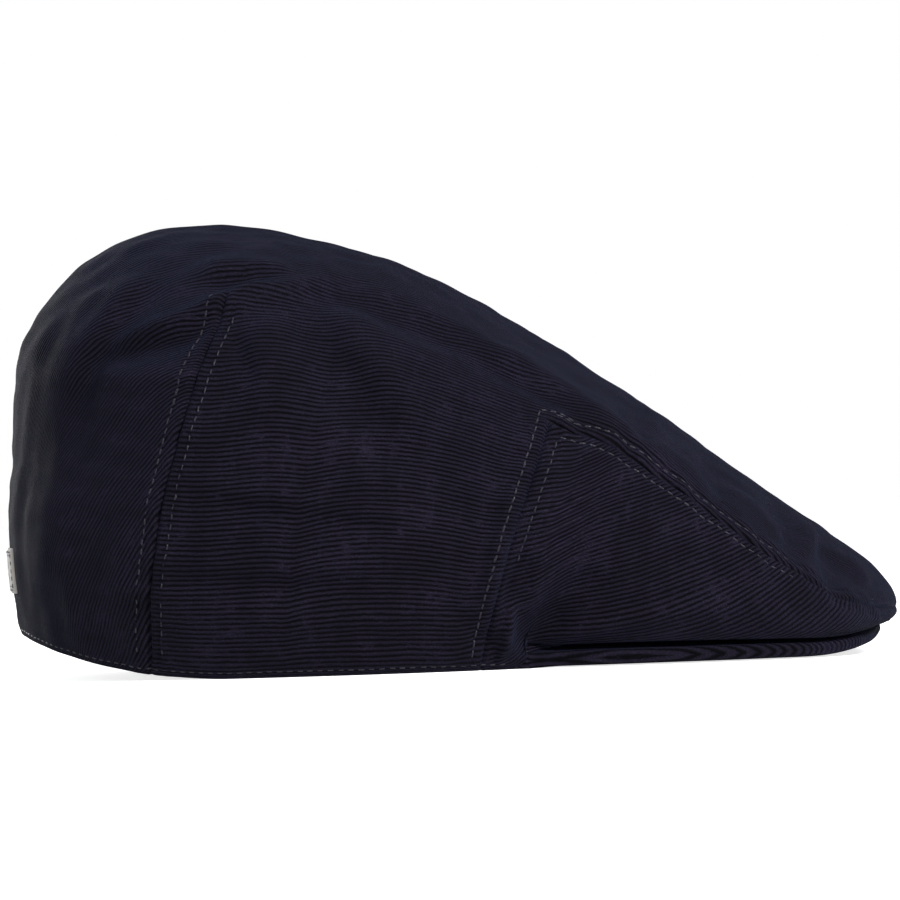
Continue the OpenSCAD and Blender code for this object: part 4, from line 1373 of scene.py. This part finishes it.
def patch(name, grid_of, nx, ny, width, height, thickness, material):
    """A small label: a lattice on the cloth with turned edges and a real thickness."""
    points, uvs = [], []
    xs = np.linspace(-width / 2, width / 2, nx)
    ys = np.linspace(-height / 2, height / 2, ny)
    rim = 0.5
    for y in ys:
        for x in xs:
            edge = min(width / 2 - abs(x), height / 2 - abs(y))
            p, n = grid_of(x, y)
            lift = thickness * (0.45 + 0.55 * float(smooth(np.array(edge / rim / 2))))
            points.append(p + n * lift)
            uvs.append((x * MM, y * MM))
    faces = [tuple(f) for f in grid_faces(ny, nx)]
    border = [*range(nx), *[nx * (r + 1) - 1 for r in range(1, ny)]]
    border += [nx * (ny - 1) + c for c in range(nx - 2, -1, -1)] + [nx * r for r in range(ny - 2, 0, -1)]
    start = len(points)
    for k in border:
        x, y = uvs[k][0] / MM, uvs[k][1] / MM
        p, n = grid_of(x, y)
        points.append(p - n * 0.1)
        uvs.append(uvs[k])
    for i in range(len(border)):
        j = (i + 1) % len(border)
        faces.append((border[j], border[i], start + i, start + j))
    return mesh_object(name, np.array(points), faces, uvs, material)


class CAP_OT_labels(bpy.types.Operator):
    """Sews on the woven back label, the lining label and the care label"""

    bl_idname = "cap.labels"
    bl_label = "Labels"

    def execute(self, context):
        colour = context.scene.cap_colours.label
        shell = shell_of(context)
        wide, high, base = LABEL_W, LABEL_H, LABEL_Z
        left = shell.shaped[: shell.rows]
        normals = shell.shaped_normal[: shell.rows]
        tail = slice(shell.dart + 4, shell.cols)

        def on_back(x, y):
            sub, nor = left[:, tail], normals[:, tail]
            d = (sub[..., 1] - abs(x)) ** 2 + (sub[..., 2] - (base + y)) ** 2
            d = d + np.where(sub[..., 2] > 70, 1e6, 0)
            near = np.argsort(d.ravel())[:6]
            w = 1 / (d.ravel()[near] + 0.05)
            p = (sub.reshape(-1, 3)[near] * w[:, None]).sum(0) / w.sum()
            n = unit((nor.reshape(-1, 3)[near] * w[:, None]).sum(0))
            s = 1 if x >= 0 else -1
            x_at = p[0] - (n[1] * (abs(x) - p[1]) + n[2] * (base + y - p[2])) / min(n[0], -0.3)
            return np.array([x_at, x, base + y]), n * [1, s, 1]

        cloth = label_cloth(context, "Back label damask", wide / 2, high / 2, colour, (0.045, 0.043, 0.042))
        obj = patch("back_label_cloth", lambda x, y: on_back(-x, y), 39, 17, wide, high, 0.95, cloth)
        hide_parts("back_label")
        thread = stitcher(context, 61)
        corner = [(-1, -1), (1, -1), (1, 1), (-1, 1), (-1, -1)]
        for (ax, ay), (bx, by) in zip(corner[:-1], corner[1:]):
            line, nn = [], []
            for t in np.linspace(0, 1, 24):
                x, y = (ax + (bx - ax) * t) * (wide / 2 - 1.2), (ay + (by - ay) * t) * (high / 2 - 1.2)
                p, n = on_back(x, y)
                line.append(p + n * 0.85)
                nn.append(n)
            thread.row(np.array(line), np.array(nn), pitch=2.4, wobble=0.05)
        obj = thread.build("back_label_thread", thread_material(context))
        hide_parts("back_label_stitches")

        g, n, u, v, _ = _made["lining"]
        spine_row = len(v) - 1
        x_mid = float(np.interp(6.9, u, g[spine_row, :, 0]))
        flat = g.reshape(-1, 3)
        flat_n = n.reshape(-1, 3)
        upper = flat[:, 2] > 60

        def under_top(x, y):
            d = (flat[:, 0] - (x_mid + x)) ** 2 + (flat[:, 1] - y) ** 2 + np.where(upper, 0, 1e6)
            near = np.argsort(d)[:8]
            w = 1 / (d[near] + 0.6)
            nn = unit((flat_n[near] * w[:, None]).sum(0))
            p = (flat[near] * w[:, None]).sum(0) / w.sum()
            z = p[2] - (nn[0] * (x_mid + x - p[0]) + nn[1] * (y - p[1])) / max(nn[2], 0.3)
            return np.array([x_mid + x, y, z]) - nn * 0.35, -nn

        cloth = label_cloth(context, "Lining label damask", 22, 22, (0.30, 0.29, 0.28), (0.02, 0.022, 0.04))
        obj = patch("lining_label_cloth", lambda x, y: under_top(x, -y), 31, 31, 44.0, 44.0, 0.6, cloth)
        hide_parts("lining_label")

        low, high_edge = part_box("care_label")
        satin = woven(context, "Care label satin", (0.74, 0.74, 0.72), 3.0, 0.1, 0.5, 0.3, 0.06, 0.04)
        x0, x1 = low.x / MM, high_edge.x / MM
        y0, z0, z1 = low.y / MM, low.z / MM, high_edge.z / MM
        cols, rows, points, uvs = 13, 40, [], []
        for layer in (0, 1):
            for r in range(rows):
                t = r / (rows - 1)
                for c in range(cols):
                    x = x0 + (x1 - x0) * c / (cols - 1)
                    z = z0 + (z1 - z0 - 1.5) * t
                    bow = (0.5 * math.sin(t * 5.0 + 1) + 0.35 * math.sin(c * 0.6 + t * 3)) * t * t
                    z = z if layer == 0 else z0 + (z1 - z0 - 1.5) * (1 - t)
                    free = 1.0 if layer == 0 else (1 - t) ** 2
                    gap = 0.15 if layer == 0 else 0.55
                    if layer:
                        curl = 0.5 * math.sin((1 - t) * 5.0 + 1)
                        bow = (curl + 0.35 * math.sin(c * 0.6 + (1 - t) * 3)) * free
                    points.append((x, y0 - gap + min(bow, 0.0), z))
                    uvs.append(((x - x0) * MM, (t + layer) * (z1 - z0) * MM))
        obj = mesh_object("care_label_cloth", np.array(points), grid_faces(2 * rows, cols), uvs, satin)
        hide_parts("care_label")
        return {"FINISHED"}


class CAP_OT_topstitching(bpy.types.Operator):
    """Runs the rows of topstitching beside every seam and round the rim"""

    bl_idname = "cap.topstitching"
    bl_label = "Topstitching"

    def execute(self, context):
        shell = shell_of(context)
        offset = context.scene.cap_sizes.stitch_offset / MM
        cloth = thread_material(context)
        lift = -context.scene.cap_sizes.thread_thickness / MM * 0.15
        top = shell.shoulder

        def side_grids(side):
            p = shell.shaped if side > 0 else shell.shaped[::-1]
            n = shell.shaped_normal if side > 0 else shell.shaped_normal[::-1]
            return p[: shell.rows], n[: shell.rows]

        def sunk(line, nn):
            """Draws a row down into the pile towards the nose, where the fold hides it."""
            return line - nn * 0.3 * smooth((line[:, :1] - 88.0) / 22.0)

        for side, word in ((1, "left"), (-1, "right")):
            p, n = side_grids(side)
            p = p + n * lift
            thread = stitcher(context, 71 + side)
            for d in (-offset * 1.2, offset * 1.2):
                rows = slice(3, top - (2 if d > 0 else 8))
                line, nn = cross_line(shell.to_dart[rows], p[rows], n[rows], d)
                thread.row(line - nn * 0.16 * smooth((84.0 - line[:, 2:]) / 24.0), nn)
            obj = thread.build(f"rear_dart_thread_{word}", cloth)
            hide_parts(f"rear_dart_stitches_{word}")
            thread = stitcher(context, 75 + side)
            rows = slice(3, top + 6)
            line, nn = cross_line(shell.to_seam[rows], p[rows], n[rows], offset)
            thread.row(line + 0.12 * nn, nn)
            corner = line[-1], nn[-1]
            rows = slice(int(top * 0.42), top - 9)
            line, nn = cross_line(shell.to_seam[rows], p[rows], n[rows], -offset)
            thread.row(line, nn)
            cols = slice(shell.seam - 14, shell.seam + 1)
            row_above = shell.to_shoulder.T
            across, facing = p.transpose(1, 0, 2)[cols], n.transpose(1, 0, 2)[cols]
            line, nn = cross_line(row_above[cols], across, facing, 4.2)
            line, nn = np.vstack([line, corner[0]]), np.vstack([nn, corner[1]])
            thread.row(line, nn)
            obj = thread.build(f"front_seam_thread_{word}", cloth)
            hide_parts(f"front_seam_stitches_{word}")

        thread = stitcher(context, 81)
        for side in (1, -1):
            p, n = side_grids(side)
            p = (p + n * lift).transpose(1, 0, 2)
            n = n.transpose(1, 0, 2)
            up = shell.to_shoulder.T
            first = nearest(shell.u, 0.9)
            cols = slice(first, shell.seam - 1)
            line, nn = cross_line(up[cols], p[cols], n[cols], 3.2)
            thread.row(sunk(line, nn), nn)
            room = np.minimum(offset, -0.42 * up[:, 0])
            cols = slice(1, shell.seam - 6)
            line, nn = cross_line((up * (offset / room)[:, None])[cols], p[cols], n[cols], -offset)
            thread.row(sunk(line, nn), nn)
        obj = thread.build("band_seam_thread", cloth)
        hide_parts("band_seam_stitches")

        thread = stitcher(context, 91)
        up = shell.up.T
        for side in (1, -1):
            p, n = side_grids(side)
            p = (p + n * lift).transpose(1, 0, 2)
            n = n.transpose(1, 0, 2)
            first = nearest(shell.u, 5.6)
            line, nn = cross_line(up[first:], p[first:], n[first:], 1.7)
            thread.row(line - nn * 0.14, nn, wobble=0.06)
        obj = thread.build("rim_thread", cloth)
        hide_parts("rim_stitches")

        thread = stitcher(context, 95)
        tip = np.array([BRIM_TIP_X - 7.5, 0, BRIM_LIFT + BRIM_T + 0.35])
        for k in range(-5, 6):
            y = k * 8.0
            x = tip[0] - (y / 48) ** 2 * 8
            z = tip[2] - abs(y / 48) ** 1.5 * 3.0
            thread.stitch(np.array([x, y, z]), np.array([x + 2.0, y + 0.4, z]), np.array([0, 0, 1.0]))
        obj = thread.build("brim_tack_thread", cloth)
        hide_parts("brim_tack_stitches")
        return {"FINISHED"}


class CAP_OT_stage(bpy.types.Operator):
    """Sets up the pale floor, the soft studio light and the camera"""

    bl_idname = "cap.stage"
    bl_label = "Floor, light and camera"

    def execute(self, context):
        scene = context.scene
        floor, w, shader = blank_material("Studio floor")
        if w is not None:
            noise = w.node("ShaderNodeTexNoise", None, Scale=40.0, Detail=4.0).outputs[0]
            base = w.blend(noise, (0.90, 0.90, 0.90, 1), (0.93, 0.93, 0.93, 1))
            w.to(base, shader.inputs["Base Color"])
            settle(shader, Roughness=0.9, Specular_IOR_Level=0.1)
            seen = w.node("ShaderNodeLightPath").outputs["Is Camera Ray"]
            settle(shader, Emission_Color=(1, 1, 1, 1))
            w.to(w.math("MULTIPLY", seen, 0.76), shader.inputs["Emission Strength"])
        size = 6.0
        mesh = bpy.data.meshes.new("studio_floor")
        corners = [(-size, -size, 0), (size, -size, 0), (size, size, 0), (-size, size, 0)]
        mesh.from_pydata(corners, [], [(0, 1, 2, 3)])
        mesh.materials.append(floor)
        obj = bpy.data.objects.new("studio_floor", mesh)
        scene.collection.objects.link(obj)

        world = scene.world or bpy.data.worlds.new("Studio")
        scene.world = world
        world.use_nodes = True
        back = world.node_tree.nodes["Background"]
        back.inputs["Color"].default_value = (1, 1, 1, 1)
        w = Web(world.node_tree)
        seen = w.node("ShaderNodeLightPath").outputs["Is Camera Ray"]
        strength = w.math("ADD", w.math("MULTIPLY", seen, 0.72), 0.28)
        w.to(strength, back.inputs["Strength"])

        def softbox(name, at, target, power, width, height, colour=(1, 1, 1)):
            data = bpy.data.lights.new(name, "AREA")
            data.shape, data.size, data.size_y = "RECTANGLE", width, height
            data.energy, data.color = power, colour
            light = bpy.data.objects.new(name, data)
            light.location = at
            light.rotation_euler = (Vector(target) - Vector(at)).to_track_quat("-Z", "Y").to_euler()
            scene.collection.objects.link(light)

        softbox("top_light", (-0.1, 0.35, 1.5), (0, 0, 0.08), 2, 1.4, 0.9, (0.86, 0.93, 1.0))
        softbox("front_light", (0.95, -1.4, 1.15), (0, 0, 0.06), 56, 0.5, 0.45)
        softbox("rear_light", (-0.9, 1.6, 0.35), (0, 0, 0.06), 16, 0.8, 0.5)
        softbox("back_light", (-1.5, -0.6, 0.6), (-0.05, 0, 0.07), 6.5, 0.8, 1.0, (0.86, 0.93, 1.0))

        camera = bpy.data.cameras.new("camera")
        camera.sensor_width = 36.0
        distance, field = 2.6, 0.2797
        camera.lens = camera.sensor_width * distance / field
        camera.clip_end = 50
        cam = bpy.data.objects.new("camera", camera)
        cam.location = (0.00087, -distance, 0.06674)
        cam.rotation_euler = (math.radians(90), math.radians(1.943), 0)
        scene.collection.objects.link(cam)
        scene.camera = cam
        scene.view_settings.view_transform = "Standard"
        scene.view_settings.look = "None"
        return {"FINISHED"}


class CAP_PT_panel(bpy.types.Panel):
    """Lists the cap's pieces in the sidebar"""

    bl_idname = "CAP_PT_panel"
    bl_label = "Flat cap"
    bl_space_type = "VIEW_3D"
    bl_region_type = "UI"
    bl_category = "Flat cap"

    def draw(self, context):
        for group in (context.scene.cap_sizes, context.scene.cap_colours):
            box = self.layout.box()
            for name in group.__annotations__:
                box.prop(group, name)
        for operator in OPERATORS:
            self.layout.operator(operator.bl_idname)


OPERATORS = (
    CAP_OT_crown_panel,
    CAP_OT_front_band,
    CAP_OT_brim,
    CAP_OT_lining,
    CAP_OT_headband,
    CAP_OT_labels,
    CAP_OT_topstitching,
    CAP_OT_stage,
)
CLASSES = (CapSizes, CapColours, *OPERATORS, CAP_PT_panel)


def register():
    for cls in CLASSES:
        bpy.utils.register_class(cls)
    bpy.types.Scene.cap_sizes = bpy.props.PointerProperty(type=CapSizes)
    bpy.types.Scene.cap_colours = bpy.props.PointerProperty(type=CapColours)


def unregister():
    del bpy.types.Scene.cap_sizes
    del bpy.types.Scene.cap_colours
    for cls in reversed(CLASSES):
        bpy.utils.unregister_class(cls)


def main():
    register()
    for operator in OPERATORS:
        area, name = operator.bl_idname.split(".")
        getattr(getattr(bpy.ops, area), name)()


if __name__ == "__main__":
    main()
